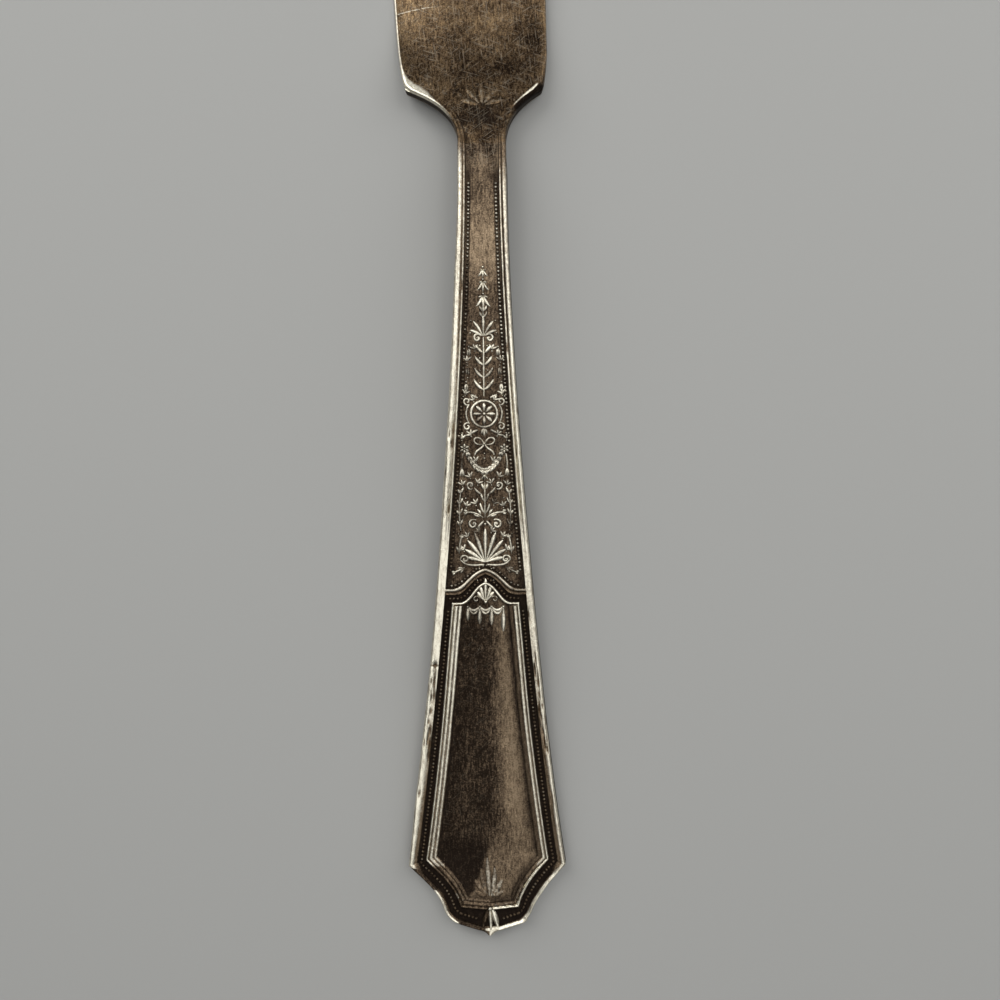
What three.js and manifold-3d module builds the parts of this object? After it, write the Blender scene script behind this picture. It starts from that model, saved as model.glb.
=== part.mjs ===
// Flat-handled table butter knife of silver-plated nickel silver, in two pieces: a blade whose tongue
// is brazed into a die-struck handle. +Y runs from the handle's end to the blade's point, +X is the
// back (spine) side of the blade, and +Z is up from the table on which the knife lies.
import * as THREE from 'three';
import { mergeVertices } from 'three/addons/utils/BufferGeometryUtils.js';
import Module from 'manifold-3d';

const wasm = await Module();
wasm.setup();

// Overall sizes in millimetres; distances along the knife are counted from the shoulders of the blade
const BLADE_LENGTH = 71.8;
const HANDLE_LENGTH = 106.2;
const HANDLE_WIDTH = 19.9;
const NECK_WIDTH = 6.0;
const NECK_BELOW_SHOULDER = 7.5;

// Plan of the blade, as reaches to either side of the centreline
const HEEL_REACH = 9.2;
const EDGE_REACH = 11.2;
const SPINE_REACH = 8.25;
const FULLEST_AT = 24;
const STEP_AT = 45;
const STEP_DEPTH = 0.9;
const CLIP_HOLLOW = 1.6;
const POINT_REACH = 4.6;
const POINT_WIDTH = 0.9;

// Plan of the handle: a neck, a flare to the corners, then a waisted end with a nib
const FLARE_AT = 11.5;
const END_HEIGHT = 9.2;
const FOOT_WIDTH = 11.2;
const FOOT_HEIGHT = 3.3;
const SOLE_WIDTH = 8.0;
const SOLE_HEIGHT = 1.55;
const NIB_WIDTH = 2.6;
const NIB_HEIGHT = 0.6;
const NIB_TIP_WIDTH = 0.5;

// Side view: the blade lies flat, the handle arches and comes down again at its end
const FLAT_FROM = 12;
const CREST_AT = 17;
const ARCH_RISE = 3.5;
const REST_LENGTH = 5;
const POINT_THICKNESS = 0.9;
const ROOT_THICKNESS = 1.7;
const CREST_THICKNESS = 3.2;
const END_THICKNESS = 2.2;
const TOP_EDGE_BREAK = 0.22;
const BACK_EDGE_BREAK = 0.45;

// Ground cutting edge along the belly of the blade
const GRIND_WIDTH = 6.5;
const GRIND_RUN_OUT = 12;
const CUTTING_EDGE = 0.5;

// Struck relief of the handle: rims, bead courses, the cross bar and the framed panel
const RIM_WIDTH = 0.55;
const RIM_STEP_WIDTH = 0.4;
const RIM_STEP_DROP = 0.12;
const FIELD_DEPTH = 0.42;
const FIELD_RUN_IN = 7;
const BEAD_COURSE_WIDTH = 0.44;
const BEAD_COURSE_DROP = 0.2;
const FRAME_INSET = 1.95;
const FRAME_WIDTH = 0.6;
const FRAME_STEP_WIDTH = 0.55;
const PANEL_HEAD_AT = 64.1;
const OGEE_RISE = 2.55;
const OGEE_HALF_SPAN = 3.17;
const BAR_GAP = 0.85;
const BAR_WIDTH = 0.9;

// Brazed seat of the blade in the neck of the handle
const TONGUE_LENGTH = 6;
const TONGUE_WIDTH = 2.6;
const TONGUE_THICKNESS = 0.8;
const BRAZE_GAP = 0.05;

// How finely curves are followed
const CURVE_STEPS = 7;
const SIDE_STATIONS = 16;

// Small helpers

function smoothStep(from, to, value) {
  return THREE.MathUtils.smoothstep(value, from, to);
}

// Points along a plan curve, without its first point so that runs can be joined end to end.
function runOf(curve) {
  return curve.getPoints(CURVE_STEPS).slice(1);
}

// Reach of a run of plan points at a distance along the knife, between neighbouring points.
function reachAt(run, y) {
  for (let i = 1; i < run.length; i += 1) {
    const low = run[i - 1].y < run[i].y ? run[i - 1] : run[i];
    const high = run[i - 1].y < run[i].y ? run[i] : run[i - 1];
    if (y >= low.y && y <= high.y && high.y > low.y) {
      return THREE.MathUtils.mapLinear(y, low.y, high.y, low.x, high.x);
    }
  }
  return Math.abs(y - run[0].y) < Math.abs(y - run.at(-1).y) ? run[0].x : run.at(-1).x;
}

// A closed body through rings of points, each ring square to the length of the knife.
function loft(rings) {
  const count = rings[0].length;
  const index = [];
  for (let i = 0; i + 1 < rings.length; i += 1) {
    for (let j = 0; j < count; j += 1) {
      const a = i * count + j;
      const b = i * count + (j + 1) % count;
      index.push(a, b, a + count, b, b + count, a + count);
    }
  }
  const last = (rings.length - 1) * count;
  for (let j = 1; j + 1 < count; j += 1) {
    index.push(0, j + 1, j, last, last + j, last + j + 1);
  }
  const geometry = new THREE.BufferGeometry().setFromPoints(rings.flat());
  geometry.setIndex(index);
  return solid(geometry);
}

// A geometry as a solid that can be joined and cut.
function solid(geometry) {
  const bare = geometry.clone();
  bare.deleteAttribute('normal');
  bare.deleteAttribute('uv');
  const welded = mergeVertices(bare, 1e-4);
  const vertProperties = welded.getAttribute('position').array;
  const triVerts = new Uint32Array(welded.getIndex().array);
  return new wasm.Manifold(new wasm.Mesh({ numProp: 3, vertProperties, triVerts }));
}

// An upright prism over a plan outline, tall enough to pass through the whole handle.
function prism(outline, extra = 0) {
  const depth = ARCH_RISE + CREST_THICKNESS + 4 + 2 * extra;
  const geometry = new THREE.ExtrudeGeometry(new THREE.Shape(outline), { depth, bevelEnabled: false });
  geometry.translate(0, 0, -2 - extra);
  return solid(geometry);
}

// The upright wall between an outer and an inner plan outline.
function wall(outer, inner, extra = 0) {
  return prism(outer, extra).subtract(prism(inner, extra + 1));
}

// A rectangular block between two corners.
function block(low, high) {
  const size = high.clone().sub(low);
  const geometry = new THREE.BoxGeometry(size.x, size.y, size.z);
  const middle = low.clone().add(high).multiplyScalar(0.5);
  geometry.translate(middle.x, middle.y, middle.z);
  return solid(geometry);
}

// Right-hand half of an outline followed by its mirror image, as one closed outline.
function mirrored(half) {
  const left = half.filter((point) => point.x > 1e-6).reverse();
  return [...half, ...left.map((point) => new THREE.Vector2(-point.x, point.y))];
}

// A named mesh of a finished piece.
function piece(name, body, colour) {
  const mesh = body.getMesh();
  const geometry = new THREE.BufferGeometry();
  geometry.setAttribute('position', new THREE.BufferAttribute(new Float32Array(mesh.vertProperties), 3));
  geometry.setIndex(new THREE.BufferAttribute(new Uint32Array(mesh.triVerts), 1));
  const material = new THREE.MeshStandardMaterial({ color: colour, metalness: 1, roughness: 0.4 });
  const result = new THREE.Mesh(geometry, material);
  result.name = name;
  return result;
}

// Side view: underside and thickness of the metal at a distance along the knife

const neckAt = -NECK_BELOW_SHOULDER;
const crestAt = -CREST_AT;
const restAt = -HANDLE_LENGTH + REST_LENGTH;

function archShare(y) {
  return y > crestAt ? smoothStep(-FLAT_FROM, -crestAt, -y) : smoothStep(restAt, crestAt, y);
}

function underside(y) {
  return ARCH_RISE * archShare(y);
}

function thickness(y) {
  if (y > FLAT_FROM) {
    return THREE.MathUtils.mapLinear(y, FLAT_FROM, BLADE_LENGTH, ROOT_THICKNESS, POINT_THICKNESS);
  }
  const low = y > crestAt ? ROOT_THICKNESS : END_THICKNESS;
  return THREE.MathUtils.lerp(low, CREST_THICKNESS, archShare(y));
}

function topside(y) {
  return underside(y) + thickness(y);
}

// Blade: plan of its two sides, from the neck to the point

const halfNeck = NECK_WIDTH / 2;

// Shoulder from the neck out to a heel; sweep is how far out the curve leans before it gets there.
function shoulder(heel, sweep) {
  return new THREE.CubicBezierCurve(
    new THREE.Vector2(halfNeck, neckAt),
    new THREE.Vector2(halfNeck, neckAt * 0.52),
    new THREE.Vector2(THREE.MathUtils.lerp(halfNeck, heel.x, sweep), neckAt * 0.27),
    heel,
  );
}

const edgeHeel = new THREE.Vector2(HEEL_REACH, -0.25);
const spineHeel = new THREE.Vector2(SPINE_REACH - 0.75, -0.3);

const edgeSide = [
  new THREE.Vector2(halfNeck, neckAt),
  ...runOf(shoulder(edgeHeel, 0.37)),
  ...runOf(new THREE.CubicBezierCurve(
    edgeHeel,
    new THREE.Vector2(HEEL_REACH + 1.05, 0.9),
    new THREE.Vector2(EDGE_REACH, FULLEST_AT * 0.42),
    new THREE.Vector2(EDGE_REACH, FULLEST_AT),
  )),
  ...runOf(new THREE.CubicBezierCurve(
    new THREE.Vector2(EDGE_REACH, FULLEST_AT),
    new THREE.Vector2(EDGE_REACH, FULLEST_AT + 0.5 * (BLADE_LENGTH - FULLEST_AT)),
    new THREE.Vector2(EDGE_REACH * 0.55, FULLEST_AT + 0.85 * (BLADE_LENGTH - FULLEST_AT)),
    new THREE.Vector2(POINT_WIDTH - POINT_REACH, BLADE_LENGTH),
  )),
];

const spineEnd = SPINE_REACH - 0.9;
const clipStart = spineEnd - STEP_DEPTH;
const spineSide = [
  new THREE.Vector2(halfNeck, neckAt),
  ...runOf(shoulder(spineHeel, 0.42)),
  ...runOf(new THREE.QuadraticBezierCurve(
    spineHeel,
    new THREE.Vector2(SPINE_REACH - 0.2, 0.7),
    new THREE.Vector2(SPINE_REACH, 4.5),
  )),
  ...runOf(new THREE.QuadraticBezierCurve(
    new THREE.Vector2(SPINE_REACH, 4.5),
    new THREE.Vector2(SPINE_REACH + 0.1, STEP_AT * 0.5),
    new THREE.Vector2(spineEnd, STEP_AT),
  )),
  ...runOf(new THREE.QuadraticBezierCurve(
    new THREE.Vector2(spineEnd, STEP_AT),
    new THREE.Vector2(spineEnd - 0.1, STEP_AT + STEP_DEPTH),
    new THREE.Vector2(clipStart, STEP_AT + 1.3 * STEP_DEPTH),
  )),
  ...runOf(new THREE.CubicBezierCurve(
    new THREE.Vector2(clipStart, STEP_AT + 1.3 * STEP_DEPTH),
    new THREE.Vector2(clipStart - CLIP_HOLLOW, STEP_AT + 0.3 * (BLADE_LENGTH - STEP_AT)),
    new THREE.Vector2(POINT_REACH - 0.8 * CLIP_HOLLOW, STEP_AT + 0.7 * (BLADE_LENGTH - STEP_AT)),
    new THREE.Vector2(POINT_REACH, BLADE_LENGTH),
  )),
];

// Blade: section across the knife, flat beneath, thinned towards the cutting edge
function bladeRing(y) {
  const edge = -reachAt(edgeSide, y);
  const spine = reachAt(spineSide, y);
  const low = underside(y);
  const high = topside(y);
  const width = spine - edge;
  const top = Math.min(TOP_EDGE_BREAK, width * 0.2);
  const back = Math.min(BACK_EDGE_BREAK, width * 0.2, thickness(y) * 0.4);
  const ground = smoothStep(-1, GRIND_RUN_OUT, y);
  const grindWidth = THREE.MathUtils.lerp(top, Math.min(GRIND_WIDTH, width * 0.55), ground);
  const lip = THREE.MathUtils.lerp(high - top, Math.min(low + CUTTING_EDGE, high - top), ground);
  const backLip = THREE.MathUtils.lerp(back, Math.min(back, CUTTING_EDGE * 0.3), ground);
  return [
    new THREE.Vector3(edge + backLip, y, low),
    new THREE.Vector3(edge, y, low + backLip),
    new THREE.Vector3(edge, y, lip),
    new THREE.Vector3(edge + grindWidth, y, high),
    new THREE.Vector3(spine - top, y, high),
    new THREE.Vector3(spine, y, high - top),
    new THREE.Vector3(spine, y, low + back),
    new THREE.Vector3(spine - back, y, low),
  ];
}

// Stations along the blade: every point of either side's outline, and steps over the rise to the neck.
function stationsOf(runs, from, to, steps) {
  const stations = runs.flat().map((point) => point.y);
  for (let i = 0; i <= steps; i += 1) {
    stations.push(THREE.MathUtils.lerp(from, to, i / steps));
  }
  const kept = [];
  for (const y of stations.sort((a, b) => a - b)) {
    if (y >= from - 1e-6 && y <= to + 1e-6 && (kept.length === 0 || y - kept.at(-1) > 0.12)) {
      kept.push(y);
    }
  }
  kept[kept.length - 1] = to;
  return kept;
}

const bladeStations = stationsOf([edgeSide, spineSide], neckAt, BLADE_LENGTH, SIDE_STATIONS);
let blade = loft(bladeStations.map(bladeRing));

// Tongue of the blade, set in the slot of the neck
const tongueMiddle = 0.25 * (underside(neckAt) + topside(neckAt)
  + underside(neckAt - TONGUE_LENGTH) + topside(neckAt - TONGUE_LENGTH));

function tongueBlock(gap, reach) {
  const halfThickness = TONGUE_THICKNESS / 2 + gap;
  const halfWidth = TONGUE_WIDTH / 2 + gap;
  return block(
    new THREE.Vector3(-halfWidth, neckAt - TONGUE_LENGTH - gap, tongueMiddle - halfThickness),
    new THREE.Vector3(halfWidth, neckAt + reach, tongueMiddle + halfThickness),
  );
}

blade = blade.add(tongueBlock(0, 1));

// Handle: right-hand side of its plan, from the neck to the middle of the end

const cornerAt = -HANDLE_LENGTH + END_HEIGHT;
const footAt = -HANDLE_LENGTH + FOOT_HEIGHT;
const soleAt = -HANDLE_LENGTH + SOLE_HEIGHT;
const nibAt = -HANDLE_LENGTH + NIB_HEIGHT;
const flareAt = -FLARE_AT;
const halfHandle = HANDLE_WIDTH / 2;

const neckEnd = new THREE.Vector2(halfNeck, flareAt);
const corner = new THREE.Vector2(halfHandle, cornerAt);
const foot = new THREE.Vector2(FOOT_WIDTH / 2, footAt);
const sole = new THREE.Vector2(SOLE_WIDTH / 2, soleAt);

// Plan point that lies a share of the way across and a share of the way along from one point to another.
function between(from, to, across, along) {
  return new THREE.Vector2(
    THREE.MathUtils.lerp(from.x, to.x, across),
    THREE.MathUtils.lerp(from.y, to.y, along),
  );
}

const flareRun = runOf(new THREE.CubicBezierCurve(
  neckEnd,
  between(neckEnd, corner, 0, 0.275),
  between(neckEnd, corner, 0.55, 0.785),
  corner,
));
const waistRun = runOf(new THREE.CubicBezierCurve(
  corner,
  between(corner, foot, 0.56, 0.43),
  between(corner, foot, 0.86, 0.65),
  foot,
));
const soleRun = runOf(new THREE.QuadraticBezierCurve(foot, between(foot, sole, 0.34, 0.74), sole));
const nibRun = runOf(new THREE.QuadraticBezierCurve(
  new THREE.Vector2(NIB_WIDTH / 2, nibAt),
  new THREE.Vector2(NIB_WIDTH * 0.2, -HANDLE_LENGTH + NIB_HEIGHT * 0.75),
  new THREE.Vector2(NIB_TIP_WIDTH / 2, -HANDLE_LENGTH),
));
const sideToSole = [
  new THREE.Vector2(halfNeck, neckAt),
  neckEnd,
  ...flareRun,
  ...waistRun,
  ...soleRun,
];
const handleSide = [...sideToSole, new THREE.Vector2(NIB_WIDTH / 2, nibAt), ...nibRun];

// Handle: section across the knife
function handleRing(y) {
  const half = reachAt(handleSide, y);
  const low = underside(y);
  const high = topside(y);
  const top = Math.min(TOP_EDGE_BREAK, half * 0.3);
  const back = Math.min(BACK_EDGE_BREAK, half * 0.3);
  return [
    new THREE.Vector3(-half + back, y, low),
    new THREE.Vector3(-half, y, low + back),
    new THREE.Vector3(-half, y, high - top),
    new THREE.Vector3(-half + top, y, high),
    new THREE.Vector3(half - top, y, high),
    new THREE.Vector3(half, y, high - top),
    new THREE.Vector3(half, y, low + back),
    new THREE.Vector3(half - back, y, low),
  ];
}

const handleStations = stationsOf([handleSide], -HANDLE_LENGTH, neckAt, SIDE_STATIONS);
const handleBlank = loft(handleStations.map(handleRing));

// Die above a sunk floor that follows the arch of the handle and runs out to nothing at the neck.
function dieAbove(drop) {
  const reach = HANDLE_WIDTH;
  const ceiling = ARCH_RISE + CREST_THICKNESS + 1;
  const rings = [];
  for (let i = 0; i <= 2 * SIDE_STATIONS; i += 1) {
    const y = THREE.MathUtils.lerp(-HANDLE_LENGTH - 1, neckAt + 1, i / (2 * SIDE_STATIONS));
    const sunk = smoothStep(NECK_BELOW_SHOULDER + 1, NECK_BELOW_SHOULDER + FIELD_RUN_IN, -y);
    const floor = topside(y) - THREE.MathUtils.lerp(-0.05, drop, sunk);
    rings.push([
      new THREE.Vector3(-reach, y, floor),
      new THREE.Vector3(-reach, y, ceiling),
      new THREE.Vector3(reach, y, ceiling),
      new THREE.Vector3(reach, y, floor),
    ]);
  }
  return loft(rings);
}

// Shortest distance from a plan point to a run of plan points.
function clearance(point, run) {
  let nearest = Infinity;
  for (let i = 1; i < run.length; i += 1) {
    const along = run[i].clone().sub(run[i - 1]);
    const share = point.clone().sub(run[i - 1]).dot(along) / along.lengthSq();
    const foot = run[i - 1].clone().addScaledVector(along, THREE.MathUtils.clamp(share, 0, 1));
    nearest = Math.min(nearest, foot.distanceTo(point));
  }
  return nearest;
}

// Handle: outline drawn in by a distance, the nib left off, with its open end carried past the neck
function drawnIn(distance) {
  const middle = new THREE.Vector2(0, nibAt);
  const side = [new THREE.Vector2(halfNeck, neckAt + 4), ...sideToSole.slice(1), middle];
  const mirrorEnd = new THREE.Vector2(-side.at(-2).x, side.at(-2).y);
  const moved = side.map((point, i) => {
    const before = i > 0 ? side[i - 1] : point.clone().add(new THREE.Vector2(0, 1));
    const after = i + 1 < side.length ? side[i + 1] : mirrorEnd;
    const first = point.clone().sub(before).normalize();
    const second = after.clone().sub(point).normalize();
    const inward = new THREE.Vector2(first.y + second.y, -first.x - second.x);
    const spread = 1 + first.dot(second);
    return point.clone().add(inward.multiplyScalar(distance / spread));
  });
  return moved.filter((point) => clearance(point, side) > distance - 0.001);
}

// Ogee of the panel's head, from the middle to where it runs level; raised moves it along the knife.
function ogee(raised, widened) {
  const level = -PANEL_HEAD_AT + raised;
  const span = OGEE_HALF_SPAN + widened;
  const curve = new THREE.CubicBezierCurve(
    new THREE.Vector2(0, level + OGEE_RISE),
    new THREE.Vector2(span * 0.5, level + OGEE_RISE * 0.8),
    new THREE.Vector2(span * 0.62, level),
    new THREE.Vector2(span, level),
  );
  return curve.getPoints(CURVE_STEPS);
}

// Outline of the panel drawn in by a distance from the handle's own outline, under its ogee head.
function panelOutline(distance) {
  const head = ogee(FRAME_INSET - distance, (FRAME_INSET - distance) * 0.4);
  const headAt = head.at(-1).y;
  const side = drawnIn(distance);
  const headCorner = new THREE.Vector2(Math.max(reachAt(side, headAt), head.at(-1).x + 0.05), headAt);
  return mirrored([...head, headCorner, ...side.filter((point) => point.y < headAt - 0.01)]);
}

// Band across the whole handle between two ogees.
function barOutline() {
  const reach = halfHandle + 1;
  const lower = ogee(BAR_GAP, BAR_GAP * 0.6);
  const upper = ogee(BAR_GAP + BAR_WIDTH, (BAR_GAP + BAR_WIDTH) * 0.6);
  const upperEnd = new THREE.Vector2(reach, upper.at(-1).y);
  const lowerEnd = new THREE.Vector2(reach, lower.at(-1).y);
  return mirrored([...upper, upperEnd, lowerEnd, ...lower.reverse()]);
}

// Handle: the blank is struck in three levels, the shallowest first
const rimStep = RIM_WIDTH + RIM_STEP_WIDTH;
const frameStep = FRAME_INSET + FRAME_WIDTH;
const frameEnd = frameStep + FRAME_STEP_WIDTH;
const beadMiddle = (rimStep + FRAME_INSET) / 2;
const bar = prism(barOutline(), 1);

function insideRim(distance) {
  return prism(mirrored(drawnIn(distance)));
}

const stepRegion = insideRim(RIM_WIDTH)
  .subtract(wall(panelOutline(FRAME_INSET), panelOutline(frameStep), 1))
  .subtract(bar);
const beadRegion = insideRim(rimStep)
  .subtract(wall(panelOutline(FRAME_INSET), panelOutline(frameEnd), 1))
  .subtract(bar);
const beadCourse = wall(
  mirrored(drawnIn(beadMiddle - BEAD_COURSE_WIDTH / 2)),
  mirrored(drawnIn(beadMiddle + BEAD_COURSE_WIDTH / 2)),
  1,
);
const fieldRegion = insideRim(rimStep)
  .subtract(prism(panelOutline(FRAME_INSET), 1))
  .subtract(beadCourse)
  .subtract(bar);

const handle = handleBlank
  .subtract(dieAbove(RIM_STEP_DROP).intersect(stepRegion))
  .subtract(dieAbove(BEAD_COURSE_DROP).intersect(beadRegion))
  .subtract(dieAbove(FIELD_DEPTH).intersect(fieldRegion))
  .subtract(tongueBlock(BRAZE_GAP, 1));

// Knife: both pieces, with the origin on the table under the middle of the whole

const knife = new THREE.Group();
knife.name = 'butter_knife';
knife.add(piece('blade', blade, 0x8d8072));
knife.add(piece('handle', handle, 0x9a9080));
const extent = new THREE.Box3().setFromObject(knife);
const middle = extent.getCenter(new THREE.Vector3());
knife.position.set(-middle.x, -middle.y, -extent.min.z);

export default knife;
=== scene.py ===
import math

import bpy
import numpy as np
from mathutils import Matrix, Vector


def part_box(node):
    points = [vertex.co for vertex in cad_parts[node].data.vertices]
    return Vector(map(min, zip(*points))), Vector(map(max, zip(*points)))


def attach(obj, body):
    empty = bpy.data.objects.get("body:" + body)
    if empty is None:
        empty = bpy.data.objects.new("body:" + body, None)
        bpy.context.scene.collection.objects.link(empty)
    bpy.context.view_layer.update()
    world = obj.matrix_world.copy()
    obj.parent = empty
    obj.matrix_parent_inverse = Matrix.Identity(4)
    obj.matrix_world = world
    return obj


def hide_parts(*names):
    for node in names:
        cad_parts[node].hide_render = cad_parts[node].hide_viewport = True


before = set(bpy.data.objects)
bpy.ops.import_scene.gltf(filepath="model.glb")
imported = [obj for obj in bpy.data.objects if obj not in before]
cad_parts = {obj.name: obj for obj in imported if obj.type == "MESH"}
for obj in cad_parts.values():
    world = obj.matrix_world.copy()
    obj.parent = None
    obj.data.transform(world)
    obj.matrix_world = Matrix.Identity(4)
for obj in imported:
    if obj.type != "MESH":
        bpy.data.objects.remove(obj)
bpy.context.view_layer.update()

# Handle
# One struck piece of nickel silver, silver plated. The dies bend it into a low arch, sink its field and
# its panel, and leave the rims, the ogee bar and the reeded frame standing proud of them.
# All sizes are millimetres, measured along the knife from the line of the blade's shoulders.
MM = 0.001
NECK = -7.5
handle_low, handle_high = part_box("handle")
AXIS = (handle_low.x + handle_high.x) / 2 / MM
SHOULDER_LINE = handle_high.y / MM - NECK
END = handle_low.y / MM - SHOULDER_LINE

# The side view: a flat blade, a crest just behind the neck, and a long fall to the flat end
BLADE_TIP = 71.8
FLAT_FROM = 12.0
CREST = -17.0
REST = END + 5.0
ARCH_RISE = 3.5
TIP_THICK = 0.9
ROOT_THICK = 1.7
CREST_THICK = 3.2
END_THICK = 2.2


def ease(start, stop, value):
    """A smooth step from 0 at the start to 1 at the stop."""
    share = np.clip((value - start) / (stop - start), 0.0, 1.0)
    return share * share * (3.0 - 2.0 * share)


def arch(y):
    return np.where(y > CREST, ease(FLAT_FROM, CREST, y), ease(REST, CREST, y))


def underside(y):
    return ARCH_RISE * arch(y)


def thickness(y):
    along = np.clip((y - FLAT_FROM) / (BLADE_TIP - FLAT_FROM), 0.0, 1.0)
    low_end = np.where(y > CREST, ROOT_THICK, END_THICK)
    bent = low_end + (CREST_THICK - low_end) * arch(y)
    return np.where(y > FLAT_FROM, ROOT_THICK + (TIP_THICK - ROOT_THICK) * along, bent)


def topside(y):
    return underside(y) + thickness(y)


def bow(points, steps):
    """Points on a smooth curve from the first point to the last, leaning towards those between."""
    share = np.linspace(0.0, 1.0, steps)[:, None]
    runs = [np.array([point], float).repeat(steps, 0) for point in points]
    while len(runs) > 1:
        runs = [a + (b - a) * share for a, b in zip(runs[:-1], runs[1:])]
    return runs[0]


def gap(line, x, y):
    """Distance from each place to the nearest part of a line."""
    nearest = np.full(np.shape(x), 1e6)
    for (ax, ay), (bx, by) in zip(line[:-1], line[1:]):
        run_x, run_y = bx - ax, by - ay
        length = run_x * run_x + run_y * run_y
        if length < 1e-12:
            continue
        share = np.clip(((x - ax) * run_x + (y - ay) * run_y) / length, 0.0, 1.0)
        nearest = np.minimum(nearest, np.hypot(x - ax - share * run_x, y - ay - share * run_y))
    return nearest


WAVES = 16


def mottle(x, y, pace, drawn, seed):
    """Smooth uneven patches, mostly between -1 and 1. A drawn below one stretches them along the knife."""
    draw = np.random.default_rng(seed)
    total = 0.0
    for wave in range(WAVES):
        turn = draw.uniform(0.0, 2.0 * math.pi)
        wave_pace = pace * draw.uniform(0.5, 1.6)
        way = x * math.cos(turn) + y * drawn * math.sin(turn)
        total = total + np.cos(wave_pace * way + draw.uniform(0.0, 2.0 * math.pi))
    return total / math.sqrt(WAVES)


# The half outline from the neck down: straight neck, long flare, corner, waist, rounded sole and nib
NECK_HALF = 3.0
FLARE_TOP = (NECK_HALF, -11.5)
CORNER = (9.85, -97.4)
WAIST_FOOT = (5.6, -103.15)
SOLE_FOOT = (4.0, -104.75)
NIB_ROOT = -105.6
NIB_SIDE = (1.3, NIB_ROOT)
straight = bow([(NECK_HALF, NECK), FLARE_TOP], 6)
flare = bow([FLARE_TOP, (NECK_HALF, -35.01), (6.92, -78.62), CORNER], 60)
waist = bow([CORNER, (7.45, -99.8), (6.15, -101.1), WAIST_FOOT], 24)
sole = bow([WAIST_FOOT, (5.1, -104.3), SOLE_FOOT], 12)
foot = bow([SOLE_FOOT, NIB_SIDE], 6)
nib = bow([NIB_SIDE, (0.52, -105.75), (0.25, END)], 8)
flank = np.concatenate([straight, flare, waist, sole, foot, nib])
rim_line = np.concatenate([straight, flare, waist, sole, foot, [(0.0, NIB_ROOT)]])
SQUARE_CORNER = (4.6, -104.6)
square_sole = bow([WAIST_FOOT, (5.5, -104.25), SQUARE_CORNER], 12)
frame_line = np.concatenate([flare, waist, square_sole, bow([SQUARE_CORNER, (0.0, -105.05)], 6)])


def half_handle(y):
    return np.interp(-y, -flank[:, 1], flank[:, 0])


# The ogee: a hollow-sided point over the panel, run level to the rims at both sides
HEAD = -64.1
OGEE_RISE = 2.55
OGEE_HALF = 3.17


def ogee(x, raised, widened):
    """Place along the knife of the ogee line, moved up and widened, at each distance from the middle."""
    span = OGEE_HALF + widened
    level = HEAD + raised
    point = (0.0, level + OGEE_RISE)
    side = bow([point, (0.5 * span, level + 0.8 * OGEE_RISE), (0.62 * span, level), (span, level)], 40)
    return np.interp(np.abs(x), side[:, 0], side[:, 1])


def bar_low(x):
    return ogee(x, raised=0.85, widened=0.51)


def bar_high(x):
    return ogee(x, raised=1.75, widened=1.05)


def reed(place, middle, half, crest, foot_level):
    """Section of a rounded moulding: its height at each distance, lying on foot_level outside it."""
    across = np.clip(np.abs((place - middle) / half), 0.0, 1.0)
    return foot_level + (crest - foot_level) * np.sqrt(1.0 - across ** 2)


# Heights from the blank's top face, and widths of the rim, of the frame, and of the frame's outer reed at
# the sides and at the head. FAR_BELOW is lower than any form, so all of them stand over it.
FIELD_DROP = -0.42
PANEL_DROP = -0.22
RIM_WIDTH = 0.97
FRAME_INSET = 1.95
FRAME_WIDTH = 1.38
OUTER_REED = 0.38
HEAD_REED = 0.44
FAR_BELOW = -9.0

# Nicks in the rims, most of them beside the panel, and two scuffs on the panel
NICKS = 54
NICKED_FROM, NICKED_TO = -85.0, -71.0
nick_draw = np.random.default_rng(41)
nicks = []
for nick in range(NICKS):
    side = nick_draw.choice([-1.0, 1.0])
    along = nick_draw.uniform(NICKED_FROM, NICKED_TO) if nick % 3 else nick_draw.uniform(-95.0, -24.0)
    inward = nick_draw.uniform(0.42, 0.90) if nick % 4 else nick_draw.uniform(0.0, 0.30)
    length = nick_draw.uniform(0.25, 0.95)
    width = nick_draw.uniform(0.05, 0.12)
    nicks.append((side, along, inward, length, width, nick_draw.uniform(0.06, 0.16)))
nicks.append((-1.0, -72.0, 0.45, 0.12, 0.60, 0.16))
scuff_long = bow([(0.4, -66.6), (-0.9, -67.9), (-2.3, -69.8)], 12)
scuff_bent = bow([(-0.4, -69.1), (-2.0, -72.0), (-0.9, -75.1)], 12)

# The slanting border between the dark and the light half at the foot of the panel
SLANT_AT = (-102.0, -100.6, -99.7, -98.0, -96.8, -95.6)
SLANT = (-2.5, -2.0, -1.85, -0.63, -0.48, 0.05)


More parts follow.
